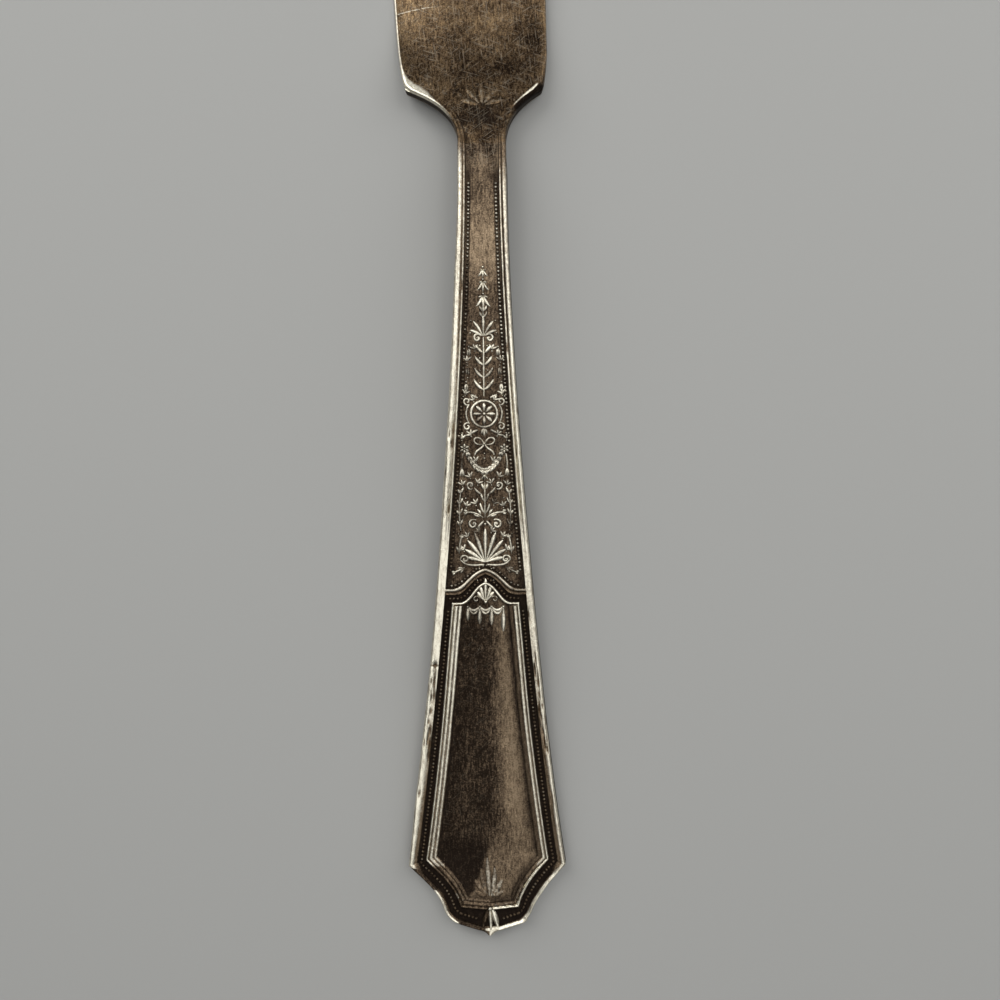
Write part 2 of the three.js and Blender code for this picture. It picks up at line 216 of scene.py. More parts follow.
def struck_face(x, y, rim):
    """Height over the blank's top face, and how worn, sooty and pale the plate is, at each place.
    rim is the distance from the edge."""
    depth = ease(-1.5, -9.5, y)

    # Rims: two reeds on the shank, then one broad rim that slopes inwards and grows narrow round the sole
    low = ease(-51.0, -60.0, y)
    rim = rim / (1.0 - 0.46 * ease(-97.3, -98.7, y))
    outer_reed = reed(rim, 0.31, 0.315, 0.0, FIELD_DROP)
    inner_reed = reed(rim, 0.80, 0.19, -0.03, FIELD_DROP)
    web = np.where(rim > 0.2, -0.18 - 0.24 * ease(0.92, 0.99, rim), FIELD_DROP)
    shank_rim = np.maximum(np.maximum(outer_reed, inner_reed), web)
    slope = 0.03 + 0.17 * ease(-66.0, -92.0, y)
    broad_top = -slope * ease(0.25, 0.9, rim) - 0.30 * ease(0.88, 0.97, rim)
    broad_rim = broad_top - 0.20 * (1.0 - np.sqrt(1.0 - np.clip(1.0 - rim / 0.26, 0.0, 1.0) ** 2))
    on_rim = rim < RIM_WIDTH
    height = np.where(on_rim, shank_rim + (broad_rim - shank_rim) * low, FIELD_DROP)

    # Frame of the panel: an outer reed that follows the ogee, and two more down the sides
    head = ogee(x, raised=0.0, widened=0.0)
    head_x = np.linspace(-9.0, 9.0, 361)
    head_line = np.stack([head_x, ogee(head_x, raised=0.0, widened=0.0)], 1)
    to_head = np.full(np.shape(x), 50.0)
    near_head = np.abs(y - HEAD) < 12.0
    to_head[near_head] = gap(head_line, x[near_head], y[near_head])
    inset = rim - FRAME_INSET + 0.16 * ease(-82.0, -66.0, y)
    at_sole = y < -96.0
    inset[at_sole] = gap(frame_line, np.abs(x[at_sole]), y[at_sole]) - FRAME_INSET
    framed = (y < head) & (inset > 0.0)
    first = np.minimum(inset, to_head)
    ridge_one = reed(first, 0.19, 0.21, 0.0, FIELD_DROP)
    ridge_two = reed(inset, 0.64, 0.245, -0.02, -0.16)
    ridge_three = reed(inset, 1.13, 0.26, -0.05, -0.22)
    on_sides = (inset > OUTER_REED) & (inset < FRAME_WIDTH) & (to_head > HEAD_REED)
    ridges = np.where(on_sides, np.maximum(ridge_two, ridge_three), FAR_BELOW)
    into_panel = np.minimum(inset - FRAME_WIDTH, to_head - HEAD_REED)
    dish = PANEL_DROP - 0.34 * (1.0 - np.exp(-(np.maximum(into_panel, 0.0) / 1.7) ** 2))
    panel = np.where((inset >= OUTER_REED) & (to_head >= OUTER_REED), dish, FAR_BELOW)
    outer_ridge = first < OUTER_REED
    inside = np.maximum(np.maximum(np.where(outer_ridge, ridge_one, FAR_BELOW), ridges), panel)
    height = np.where(framed, inside, height)
    in_panel = framed & (into_panel > 0.0)

    # Ogee bar: a full upper reed, a hollow under it and a thin lower lip
    bar_from, bar_to = bar_low(x), bar_high(x)
    up_bar = (y - bar_from) / (bar_to - bar_from)
    on_bar = (up_bar > 0.0) & (up_bar < 1.0) & (rim > 0.9)
    upper_reed = reed(up_bar, 0.70, 0.31, -0.01, FIELD_DROP)
    lower_lip = reed(up_bar, 0.13, 0.14, -0.14, FIELD_DROP)
    bar = np.maximum(np.maximum(upper_reed, lower_lip), np.where(up_bar > 0.1, -0.24, FIELD_DROP))
    height = np.where(on_bar, bar, height)
    proud = height
    height = height * depth

    # Wear: crests rubbed bright, least on the frame's lower end and on the lower left of the rim. The dulling
    # of the lower left is painted shade, and the frame's ridges are brighter or darker by side as painted
    # light and shade.
    right = x > 0.0
    downward = ease(-66.0, -95.0, y)
    past_corner = ease(-96.6, -98.0, y)
    on_field = ease(-28.0, -42.0, y)
    broken_edge = np.where(on_rim, np.maximum(low, np.where(right, 0.6 * on_field, 0.7)), 0.0)
    worn = ease(-0.20 - 0.14 * broken_edge, -0.03, proud)
    rubbed_from = np.where(right, ease(-4.0, -14.5, y), ease(-3.0, -11.5, y))
    worn = np.where(on_rim, np.maximum(worn, ease(0.46, 0.30, rim)), worn) * rubbed_from
    on_frame = framed & ~in_panel
    # The frame's ridges are brightened or dulled by side as painted light and shade.
    left_wear_and_light = np.where(outer_ridge, 0.88, 0.79) - 0.22 * downward
    lower_left_frame_shade = 0.42 * ease(-97.0, -98.2, y) + 0.40 * ease(-101.4, -102.4, y)
    left_wear_and_light = left_wear_and_light * (1.0 - lower_left_frame_shade * ease(0.3, -0.2, x))
    right_wear_and_light = np.where(outer_ridge, 0.86, 0.66 - 0.56 * ease(0.72, 0.92, inset)) - 0.05 * downward
    right_wear_and_light = right_wear_and_light - np.where(outer_ridge, 0.0, 0.30 * past_corner)
    worn = np.where(on_frame, worn * np.where(right, right_wear_and_light, left_wear_and_light), worn)
    # Painted highlight on the right outer ridge of the frame past the corner.
    frame_painted_highlight = np.where(on_frame & outer_ridge & right, past_corner, 0.0)
    worn = np.maximum(worn, 1.05 * frame_painted_highlight * ease(-0.38, -0.20, proud))
    bar_share = 0.42 + 0.12 * ease(3.6, 2.4, np.abs(x)) + 0.12 * ease(1.0, -2.0, x)
    worn = np.where(on_bar, worn * bar_share, worn)
    # Painted highlight on the right of the sole, which also keeps its rim from dulling.
    sole_painted_highlight = np.where(right, ease(-97.4, -99.0, y), 0.0)
    tan_share = 0.10 + np.where(right, 0.50, 0.40) * downward
    tan_inner = ease(0.38, 0.58, rim) * low * tan_share * (1.0 - sole_painted_highlight)
    uneven = np.clip(mottle(x, y, pace=2.4, drawn=0.30, seed=5), 0.0, 1.5) * low
    dull_neck = ease(-44.0, -24.0, y) * np.where(right, 0.43, 0.38)
    dull = dull_neck + np.where(right, 0.30 * low, 0.0) * (1.0 - sole_painted_highlight)
    worn = np.where(on_rim, worn * (1.0 - dull) * (1.0 - tan_inner - 0.10 * uneven), worn)
    # Painted shade: the lower left of the rim and of the nib's foot is dulled and darkened.
    lower_left_painted_shade = np.where(right, 0.0, 1.0) * ease(-97.2, -98.0, y) * ease(-100.9, -100.1, y)
    lower_left_painted_shade = np.maximum(lower_left_painted_shade, ease(-4.4, -3.6, x) * ease(-0.2, -0.9, x) * ease(-103.6, -104.2, y))
    left_inner = np.where(on_rim & ~right, ease(0.50, 0.60, rim), 0.0) * ease(-42.0, -26.0, y)
    worn = worn * (1.0 - 0.88 * lower_left_painted_shade - 0.22 * left_inner)
    to_scuff = np.minimum(gap(scuff_long, x, y), gap(scuff_bent, x, y))
    worn = np.maximum(worn, np.where(in_panel, 0.34 * np.exp(-(to_scuff / 0.14) ** 2), 0.0))
    for side, along, inward, length, width, deep in nicks:
        near = np.exp(-((y - along) / length) ** 2 - ((rim - inward) / width) ** 2)
        near = np.where((np.sign(x) == side) & on_rim, near, 0.0)
        height = height - deep * near
        worn = worn * (1.0 - 0.75 * near)

    # Soot lies in the bead channels, in the grooves between mouldings and round the foot of the panel. On the
    # right the grooves, the panel's border and the frame's inner edge are darkened further as painted shade.
    beside_head = (y > head) & (y < bar_from) & ~on_rim
    lower_channel = ~on_rim & (inset < 0.0) & (y < bar_from)
    upper_channel = ~on_rim & (rim < 1.62) & (y > bar_to)
    over_bar = ~on_rim & (y > bar_to) & (y < bar_to + 0.55)
    soot_and_shade = np.where(upper_channel | over_bar, 0.72, 0.0)
    soot_and_shade = np.where(lower_channel | beside_head, 1.0, soot_and_shade) * ease(-7.0, -13.0, y)
    grooves = ease(-0.06, -0.20, proud) * np.where((on_rim & (rim > 0.3)) | on_frame, 1.0, 0.0)
    groove_soot_and_shade = np.where(right, 0.85 - 0.45 * on_field * on_rim, np.where(on_rim, 0.30, 0.26))
    soot_and_shade = np.maximum(soot_and_shade, grooves * groove_soot_and_shade * ease(-4.0, -10.0, y))
    soot_and_shade = np.maximum(soot_and_shade, np.where(on_bar, ease(-0.14, -0.26, proud) * 0.45, 0.0))
    border = np.where(right, 0.42, 0.20)
    soot_and_shade = np.maximum(soot_and_shade, np.where(in_panel, 0.85 * np.exp(-np.maximum(into_panel, 0.0) / border), 0.0))
    soot_and_shade = np.where(on_frame & right & (inset > 0.86), np.maximum(soot_and_shade, 0.60), soot_and_shade)

    # Paleness of the film: dark neck, rubbed shank, dark field, and a panel lighter on the right, where a
    # sharp slanting edge parts the dark and the light half near its foot. The dark neck and the paler shank
    # are partly painted shade and reflection along the arch. The panel's light right part is partly uneven
    # tarnish and partly a painted reflection of the lamp on the left in the dished panel, and its dark left
    # part with its soot partly painted shade.
    pale = 0.30 + 0.13 * ease(-8.0, -14.0, y) + 0.28 * ease(-14.5, -19.0, y) - 0.43 * ease(-21.5, -27.0, y)
    patchy = 0.07 * mottle(x, y, pace=1.5, drawn=0.7, seed=9)
    pale = pale - 0.06 * ease(-30.0, -42.0, y) + patchy * ease(-22.0, -18.0, y)
    pale = pale + 0.17 * mottle(x, y, pace=2.4, drawn=0.6, seed=17) * ease(-14.0, -10.0, y)
    across = x / np.maximum(half_handle(y) - 3.3, 1.0)
    # The bright strip on the right of the panel is partly a painted reflection and partly uneven tarnish.
    tarnish_and_reflection_strip = np.exp(-((across - 0.72) / np.where(across < 0.72, 0.40, 0.26)) ** 2)
    panel_pale = 0.02 + 0.84 * tarnish_and_reflection_strip - 0.20 * ease(-80.0, -66.0, y) * ease(0.0, 0.6, across)
    past_slant = x - np.interp(y, SLANT_AT, SLANT) + 0.16 * mottle(x, y, pace=3.6, drawn=1.0, seed=8)
    pale_and_reflecting_half = ease(-1.0, 1.0, past_slant / (0.30 + 2.8 * ease(-97.5, -90.0, y)))
    at_foot = ease(-90.0, -96.5, y)
    panel_pale = panel_pale + at_foot * ((0.50 + 0.12 * tarnish_and_reflection_strip) * pale_and_reflecting_half - panel_pale)
    panel_pale = panel_pale + 0.05 * mottle(x, y, pace=1.2, drawn=0.5, seed=3)
    soot_and_shade = np.maximum(soot_and_shade, np.where(in_panel, 0.50 * at_foot * (1.0 - pale_and_reflecting_half), 0.0))
    pale = np.where(in_panel, panel_pale, pale)
    pale = np.where(on_frame, 0.68 - 0.28 * past_corner, pale)
    pale = np.where(on_bar, 0.48, pale)
    rim_pale = 0.34 + 0.28 * ease(-4.0, -11.0, y) + 0.34 * downward * ease(-97.8, -96.6, y)
    pale = np.where(on_rim, rim_pale - 0.45 * lower_left_painted_shade, pale)
    return height, worn, soot_and_shade, pale


# Columns across the top face lie close together over the rims and the frame, and wider in the middle
RIM_SPAN = 1.705
RIM_COLUMNS = np.concatenate([np.arange(0.0, 0.6, 0.05), np.arange(0.6, 1.71, 0.065)]) / RIM_SPAN
FRAME_SPAN = 1.75
FRAME_COLUMNS = np.linspace(0.0, 1.0, 28)[1:]
MIDDLE_COLUMNS = np.linspace(0.0, 1.0, 24)[1:]


def columns(half, lean):
    """Distances in from the edge of one half of a row, from the edge to the middle.
    lean is how much longer the way across is than the way square to the edge."""
    rim_span = min(RIM_SPAN * lean, 0.5 * half)
    frame_span = min(FRAME_SPAN * lean, 0.62 * (half - rim_span))
    rest = half - rim_span - frame_span
    over_frame = rim_span + frame_span * FRAME_COLUMNS
    over_middle = rim_span + frame_span + rest * MIDDLE_COLUMNS
    return np.concatenate([RIM_COLUMNS * rim_span, over_frame, over_middle])


def lean_of(edge, rows):
    """How much longer the way across is than the way square to the edge, evened out along the rows."""
    lean = np.clip(np.hypot(1.0, np.gradient(edge, rows)), 1.0, 1.6)
    near = np.abs(rows[:, None] - rows[None, :]) < 1.6
    return (near * lean[None, :]).sum(1) / near.sum(1)


def across_rows(rows, left, right, middle):
    """Place of every column in every row, from the left edge to the right."""
    table = []
    leans = zip(lean_of(left, rows), lean_of(right, rows))
    for low_x, high_x, mid_x, (low_lean, high_lean) in zip(left, right, middle, leans):
        left_half = low_x + columns(mid_x - low_x, low_lean)
        right_half = high_x - columns(high_x - mid_x, high_lean)
        table.append(np.concatenate([left_half, right_half[-2::-1]]))
    return np.array(table), np.repeat(rows[:, None], len(table[0]), 1)


# The used handle is a little out of true: all of it sways sideways, its left edge spreads outwards and the
# right of its foot is moved, by these amounts at these places along the knife
SWAY_AT = (END, -100.5, -97.5, -80.0, -58.0)
SWAY = (0.20, 0.10, -0.11, -0.11, 0.0)
SPREAD_AT = (-97.5, -90.0, -76.0, -68.0, -50.0, -23.5, -15.0)
SPREAD = (0.04, 0.28, 0.20, 0.18, 0.30, 0.20, 0.0)
FOOT_AT = (-104.85, -104.6, -103.95, -103.0, -101.2)
FOOT_MOVE = (0.0, 0.12, -0.28, -0.28, 0.0)
SHARP_FROM = 52.0


def finish_mesh(name, points, faces, marks, corner_places):
    """Make a closed piece from points in millimetres, with its marks of wear, tarnish and painted light and
    shade, and its flat layout.
    """
    mesh = bpy.data.meshes.new(name)
    along = points[:, 1]
    from_left = points[:, 0] + half_handle(along)
    spread = np.interp(along, SPREAD_AT, SPREAD) * ease(0.75, 0.10, from_left)
    from_right = half_handle(along) - points[:, 0]
    foot_move = np.interp(along, FOOT_AT, FOOT_MOVE) * ease(1.7, 0.8, from_right)
    sway = np.outer(np.interp(along, SWAY_AT, SWAY) - spread + foot_move, (1.0, 0.0, 0.0))
    placed = (points + sway + np.array([AXIS, SHOULDER_LINE, 0.0])) * MM
    mesh.from_pydata(placed.tolist(), [], faces)
    for mark, values in marks.items():
        layer = mesh.attributes.new(mark, "FLOAT", "POINT")
        layer.data.foreach_set("value", np.asarray(values, np.float32))
    layout = mesh.uv_layers.new(name="OFBake")
    layout.data.foreach_set("uv", np.asarray(corner_places, np.float32).ravel())
    mesh.shade_smooth()
    mesh.set_sharp_from_angle(angle=math.radians(SHARP_FROM))
    piece = bpy.data.objects.new(name, mesh)
    bpy.context.scene.collection.objects.link(piece)
    return piece


BACK_COLUMNS = 33
WALL_STEPS = 4
ROUND_SHARE = 0.42


def lofted(name, rows, left, right, middle, face, back_round, draft, walls):
    """Closed solid through the rows: struck top face, plain back, and side walls. The right wall leans out
    by the draft, and walls holds the marks of the right wall, the back and the left wall: wear and tarnish,
    with painted light and shade on the walls."""
    x, y = across_rows(rows, left, right, middle)
    height, worn, soot_and_shade, pale = face(x, y)
    count = len(rows)
    top = np.stack([x, y, height], 2)
    turn = np.linspace(0.0, math.pi, BACK_COLUMNS)
    back_share = (1.0 + np.cos(turn)) / 2.0
    back_x = left[:, None] + (right + draft - left)[:, None] * back_share[None, :]
    back_y = np.repeat(rows[:, None], BACK_COLUMNS, 1)
    side_gap = np.minimum(back_x - left[:, None], (right + draft)[:, None] - back_x)
    radius = np.minimum(back_round, ROUND_SHARE * (height[:, :1] - underside(rows)[:, None]))
    fall = np.clip(radius - side_gap, 0.0, None)
    lift = radius - np.sqrt(np.clip(radius ** 2 - fall ** 2, 0.0, None))
    back = np.stack([back_x, back_y, underside(rows)[:, None] + lift], 2)
    share = np.linspace(0.0, 1.0, WALL_STEPS + 2)[1:-1][None, :, None]
    right_wall = top[:, -1:, :] + (back[:, :1, :] - top[:, -1:, :]) * share
    left_wall = back[:, -1:, :] + (top[:, :1, :] - back[:, -1:, :]) * share
    rings = np.concatenate([top, right_wall, back, left_wall], 1)
    ring = rings.shape[1]
    points = rings.reshape(-1, 3)

    marks = {}
    for mark, values in (("worn", worn), ("soot_and_shade", soot_and_shade), ("pale", pale)):
        around = [values]
        for value, steps in zip(walls[mark], (WALL_STEPS, BACK_COLUMNS, WALL_STEPS)):
            around.append(np.repeat(np.broadcast_to(value, count)[:, None], steps, 1))
        marks[mark] = np.concatenate(around, 1).ravel()
    along = np.arange(count - 1)[:, None] * ring
    step = np.arange(ring)[None, :]
    ahead = (step + 1) % ring
    quads = np.stack([along + step, along + ahead, along + ring + ahead, along + ring + step], 2)
    faces = quads.reshape(-1, 4).tolist()
    faces.append(list(range(ring - 1, -1, -1)))
    faces.append(list(range((count - 1) * ring, count * ring)))
    if rows[-1] < rows[0]:
        faces = [face_points[::-1] for face_points in faces]
    along_share = (rows - rows[0]) / (rows[-1] - rows[0])
    layout = np.empty((count - 1, ring, 4, 2))
    for corner, (ring_shift, row_shift) in enumerate([(0, 0), (1, 0), (1, 1), (0, 1)]):
        layout[:, :, corner, 0] = (step + ring_shift) / ring
        layout[:, :, corner, 1] = along_share[row_shift:count - 1 + row_shift, None]
    if rows[-1] < rows[0]:
        layout = layout[:, :, ::-1, :]
    corner_places = np.concatenate([layout.reshape(-1, 2), np.zeros((2 * ring, 2))])
    return finish_mesh(name, points, faces, marks, corner_places)


def handle_face(x, y):
    rim = gap(rim_line, np.abs(x), y)
    on_nib = (y < NIB_ROOT) | (np.abs(x) > np.interp(-y, -rim_line[:, 1], rim_line[:, 0]) + 0.01)
    rim = np.where(on_nib, 0.0, rim)
    height, worn, soot_and_shade, pale = struck_face(x, y, rim)
    nib_height = -0.02 - 0.20 * (1.0 - ease(0.0, 0.2, gap(flank, np.abs(x), y)))
    by_nib = ease(NIB_ROOT + 0.35, NIB_ROOT + 0.05, y) * ease(1.2, 0.9, np.abs(x))
    height = np.where(on_nib, nib_height, height + (nib_height - height) * by_nib)
    # The nib is bright on the right and dull on the left, partly wear and partly painted highlight and shade.
    worn = np.where(on_nib, 0.92 - 0.74 * ease(0.15, -0.25, x), worn)
    soot_and_shade = np.where(on_nib, 0.0, soot_and_shade)
    return topside(y) + height, worn, soot_and_shade, pale


handle_rows = np.concatenate([
    np.arange(NECK, -57.0, -0.4), np.arange(-57.0, -66.6, -0.095),
    np.arange(-66.6, -94.4, -0.3), np.arange(-94.5, END + 0.02, -0.09), [END]])
half = half_handle(handle_rows)
handle_draft = 0.14 * ease(-98.4, -96.8, handle_rows) * ease(NECK, NECK - 4.0, handle_rows)
# The right wall is darkened as painted shade and the left wall brightened as painted light.
handle_wall_wear_and_shade = {
    "worn": (0.08, 0.34, 0.60 + 0.16 * mottle(0.0, handle_rows, pace=0.8, drawn=1.0, seed=21)),
    "soot_and_shade": (0.55, 0.05, 0.05),
    "pale": (0.16, 0.50, 0.50),
}
handle = lofted(
    "struck_handle", handle_rows, -half, half, half * 0.0, handle_face,
    back_round=0.6, draft=handle_draft, walls=handle_wall_wear_and_shade)


def put(tree, kind, inputs=(), **options):
    """Add one shader node with its options, and set or link its inputs."""
    node = tree.nodes.new("ShaderNode" + kind)
    for key, value in options.items():
        setattr(node, key, value)
    for socket, value in inputs:
        if isinstance(value, bpy.types.NodeSocket):
            tree.links.new(value, node.inputs[socket])
        else:
            node.inputs[socket].default_value = value
    return node


def scaled(tree, place, amounts):
    return put(tree, "VectorMath", [(0, place), (1, amounts)], operation="MULTIPLY").outputs[0]


def cloud(tree, place, scale, detail, roughness):
    inputs = [("Vector", place), ("Scale", scale), ("Detail", detail), ("Roughness", roughness)]
    return put(tree, "TexNoise", inputs).outputs[0]


def maths(tree, operation, first, second):
    return put(tree, "Math", [(0, first), (1, second)], operation=operation).outputs[0]


def swing(tree, value, amount):
    """A cloud value turned into a plus or minus swing of the given amount."""
    return maths(tree, "MULTIPLY", maths(tree, "SUBTRACT", value, 0.5), amount)


def stretch(tree, value, low, high, new_low=0.0, new_high=1.0):
    """A value eased from the range low to high into the new range."""
    inputs = [("Value", value), ("From Min", low), ("From Max", high)]
    inputs += [("To Min", new_low), ("To Max", new_high)]
    return put(tree, "MapRange", inputs, interpolation_type="SMOOTHSTEP").outputs[0]


def blend_colour(tree, share, first, second):
    return put(tree, "Mix", [(0, share), (6, first), (7, second)], data_type="RGBA").outputs[2]


def blend_value(tree, share, first, second):
    return put(tree, "Mix", [(0, share), (2, first), (3, second)], data_type="FLOAT").outputs[0]


def new_group(name, inputs, outputs):
    """An empty shader node group with its named sockets."""
    group = bpy.data.node_groups.new(name, "ShaderNodeTree")
    for label, kind in inputs:
        group.interface.new_socket(name=label, in_out="INPUT", socket_type="NodeSocket" + kind)
    for label, kind in outputs:
        group.interface.new_socket(name=label, in_out="OUTPUT", socket_type="NodeSocket" + kind)
    return group, group.nodes.new("NodeGroupInput").outputs, group.nodes.new("NodeGroupOutput").inputs


# Tarnish film: brown sulphide over silver, near black in the hollows and where shade is painted, and tan
# where it is rubbed thin
FILM_TONES = [
    (0.0, (0.013, 0.0085, 0.0055)), (0.25, (0.060, 0.0430, 0.0300)), (0.5, (0.128, 0.096, 0.068)),
    (0.75, (0.218, 0.166, 0.115)), (1.0, (0.330, 0.258, 0.185))]
SOOT_AND_SHADE_COLOUR = (0.014, 0.0092, 0.0066, 1.0)
CLEAN_ROUGHNESS = 0.42
SOOT_ROUGHENS = 0.25
film, given, made = new_group(
    "tarnish_film",
    [("Place", "Vector"), ("Pale", "Float"), ("Soot", "Float"), ("Speckle", "Float"), ("Tint", "Color")],
    [("Colour", "Color"), ("Roughness", "Float")])
spot = given["Place"]
patches = swing(film, cloud(film, spot, scale=0.32, detail=4.0, roughness=0.6), 0.34)
coarse = cloud(film, spot, scale=2.1, detail=3.0, roughness=0.65)
fine = cloud(film, spot, scale=5.6, detail=3.0, roughness=0.75)
drawn_out = scaled(film, spot, (1.7, 0.30, 1.7))
streaks = swing(film, cloud(film, drawn_out, scale=2.6, detail=3.0, roughness=0.7), 0.95)
grain = maths(film, "ADD", maths(film, "ADD", swing(film, coarse, 0.45), swing(film, fine, 1.15)), streaks)
fleck = maths(film, "MULTIPLY", grain, given["Speckle"])
level = maths(film, "ADD", maths(film, "ADD", given["Pale"], patches), fleck)
tones = put(film, "ValToRGB", [(0, level)])
stops = tones.color_ramp.elements
for position, tone in FILM_TONES[1:-1]:
    stops.new(position)
for stop, (position, tone) in zip(stops, FILM_TONES):
    stop.position = position
    stop.color = tone + (1.0,)
tint_inputs = [(0, 1.0), (6, tones.outputs[0]), (7, given["Tint"])]
tinted = put(film, "Mix", tint_inputs, data_type="RGBA", blend_type="MULTIPLY").outputs[2]
soot_and_shade_share = maths(film, "MULTIPLY", given["Soot"], stretch(film, coarse, 0.30, 0.62, new_low=0.72))
film.links.new(blend_colour(film, soot_and_shade_share, tinted, SOOT_AND_SHADE_COLOUR), made["Colour"])
roughened = maths(film, "MULTIPLY", given["Soot"], SOOT_ROUGHENS)
film.links.new(maths(film, "ADD", roughened, CLEAN_ROUGHNESS), made["Roughness"])

# Hair scratches: short fine lines in all directions, some curled like lint
hairs, given, made = new_group("hair_scratches", [("Place", "Vector")], [("Mask", "Float")])
spot = given["Place"]
lines = 0.0
for angle, spacing in [(0.35, 5.0), (1.45, 6.5), (2.5, 5.6)]:
    turned = put(hairs, "VectorRotate", [("Vector", spot), ("Angle", angle)], rotation_type="Z_AXIS")
    drawn = scaled(hairs, turned.outputs[0], (0.45, spacing, 1.0))
    streak = stretch(hairs, cloud(hairs, drawn, scale=1.0, detail=2.0, roughness=0.55), 0.61, 0.70)
    lines = maths(hairs, "MAXIMUM", lines, streak)
curls = cloud(hairs, spot, scale=1.5, detail=2.0, roughness=0.5)
from_curl = maths(hairs, "ABSOLUTE", maths(hairs, "SUBTRACT", curls, 0.5), 0.0)
curl_line = stretch(hairs, from_curl, 0.0, 0.022, new_low=1.0, new_high=0.0)
curl_break = stretch(hairs, cloud(hairs, spot, scale=0.9, detail=2.0, roughness=0.5), 0.52, 0.62)
hairs.links.new(maths(hairs, "MAXIMUM", lines, maths(hairs, "MULTIPLY", curl_line, curl_break)), made["Mask"])

# Rubbed metal: bare silver that shows where handling wears the film away and where highlights are
# painted, ragged at its border
DULL_SILVER = (0.55, 0.490, 0.380, 1.0)
BRIGHT_SILVER = (0.92, 0.870, 0.715, 1.0)
rubbed, given, made = new_group(
    "rubbed_silver", [("Place", "Vector"), ("Worn", "Float"), ("Ragged", "Float")],
    [("Mask", "Float"), ("Colour", "Color")])
spot = given["Place"]
border = swing(rubbed, cloud(rubbed, spot, scale=2.6, detail=4.0, roughness=0.7), 1.0)
reach = maths(rubbed, "ADD", given["Worn"], maths(rubbed, "MULTIPLY", border, given["Ragged"]))
rubbed.links.new(stretch(rubbed, reach, 0.28, 0.78), made["Mask"])
rubbed_along = scaled(rubbed, spot, (1.0, 0.30, 1.0))
sheen = stretch(rubbed, cloud(rubbed, rubbed_along, scale=2.6, detail=5.0, roughness=0.8), 0.32, 0.58)
rubbed.links.new(blend_colour(rubbed, sheen, DULL_SILVER, BRIGHT_SILVER), made["Colour"])

# Hair scratches show on the blade and the neck, and hardly on the handle from HAIRS_END down
HAIRS_FULL = -9.0
HAIRS_END = -13.5
HAIRS_SHARE = 0.42
HAIRS_LEFT = 0.09
HAIR_COLOUR = (0.30, 0.25, 0.185, 1.0)
RUBBED_ROUGHNESS = 0.32
PLATE_METALLIC = 0.94
# The three marks hold wear with painted highlights, tarnish in the hollows with painted shade, and the film's
# paleness with painted reflection.
MARKS = ("worn", "soot_and_shade", "pale")


def tarnished_silver(name, speckle, tint, ragged_edge, grain_height):
    """Silver plate with its film, scratches and rubbed places, read from the marks of the mesh, which also
    hold painted light and shade.
    """
    material = bpy.data.materials.new(name)
    material.use_nodes = True
    tree = material.node_tree
    shader = tree.nodes["Principled BSDF"]
    here = put(tree, "TexCoord").outputs["Object"]
    place = put(tree, "VectorMath", [(0, here), (3, 1.0 / MM)], operation="SCALE").outputs[0]
    worn, soot_and_shade, pale = [put(tree, "Attribute", attribute_name=mark).outputs["Fac"] for mark in MARKS]
    coat = put(tree, "Group", node_tree=film)
    bare_metal = put(tree, "Group", node_tree=rubbed)
    scratch = put(tree, "Group", node_tree=hairs)
    for node in (coat, bare_metal, scratch):
        tree.links.new(place, node.inputs["Place"])
    tree.links.new(pale, coat.inputs["Pale"])
    tree.links.new(soot_and_shade, coat.inputs["Soot"])
    coat.inputs["Speckle"].default_value = speckle
    coat.inputs["Tint"].default_value = tint + (1.0,)
    tree.links.new(worn, bare_metal.inputs["Worn"])
    bare_metal.inputs["Ragged"].default_value = ragged_edge
    clean = maths(tree, "MULTIPLY", scratch.outputs["Mask"], maths(tree, "SUBTRACT", 1.0, soot_and_shade))
    along = put(tree, "SeparateXYZ", [(0, place)]).outputs["Y"]
    hair_ends = (SHOULDER_LINE + HAIRS_END, SHOULDER_LINE + HAIRS_FULL)
    lit = maths(tree, "MULTIPLY", clean, stretch(tree, along, *hair_ends, HAIRS_LEFT, HAIRS_SHARE))
    scratched = blend_colour(tree, lit, coat.outputs["Colour"], HAIR_COLOUR)
    colour = blend_colour(tree, bare_metal.outputs["Mask"], scratched, bare_metal.outputs["Colour"])
    tree.links.new(colour, shader.inputs["Base Color"])
    gloss = blend_value(tree, bare_metal.outputs["Mask"], coat.outputs["Roughness"], RUBBED_ROUGHNESS)
    tree.links.new(gloss, shader.inputs["Roughness"])
    shader.inputs["Metallic"].default_value = PLATE_METALLIC
    pits = cloud(tree, place, scale=4.5, detail=4.0, roughness=0.7)
    relief = maths(tree, "SUBTRACT", pits, maths(tree, "MULTIPLY", scratch.outputs["Mask"], 0.5))
    bump = put(tree, "Bump", [("Height", relief), ("Strength", 0.5), ("Distance", grain_height * MM)])
    tree.links.new(bump.outputs[0], shader.inputs["Normal"])
    return material


HANDLE_TINT = (1.0, 0.950, 0.860)
handle_finish = tarnished_silver(
    "handle_plate_tarnished", speckle=1.55, tint=HANDLE_TINT, ragged_edge=0.62, grain_height=0.045)
handle.data.materials.append(handle_finish)
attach(handle, "root")
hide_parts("handle")

# Bead borders
# Rows of small round beads raised by the dies in the channels beside the rims, along both sides of the
# ogee bar and round the panel. Those on the shank are rubbed, and those round the panel stay dark.
SUNK = 0.06
BEAD_SIDES = 8
BEAD_LIFTS = np.array([0.0, 0.55, 1.05])


def new_casting():
    """An empty list of relief forms that make up one piece."""
    return {"count": 0, "places": [], "rise": [], "worn": [], "faces": [], "hidden": []}


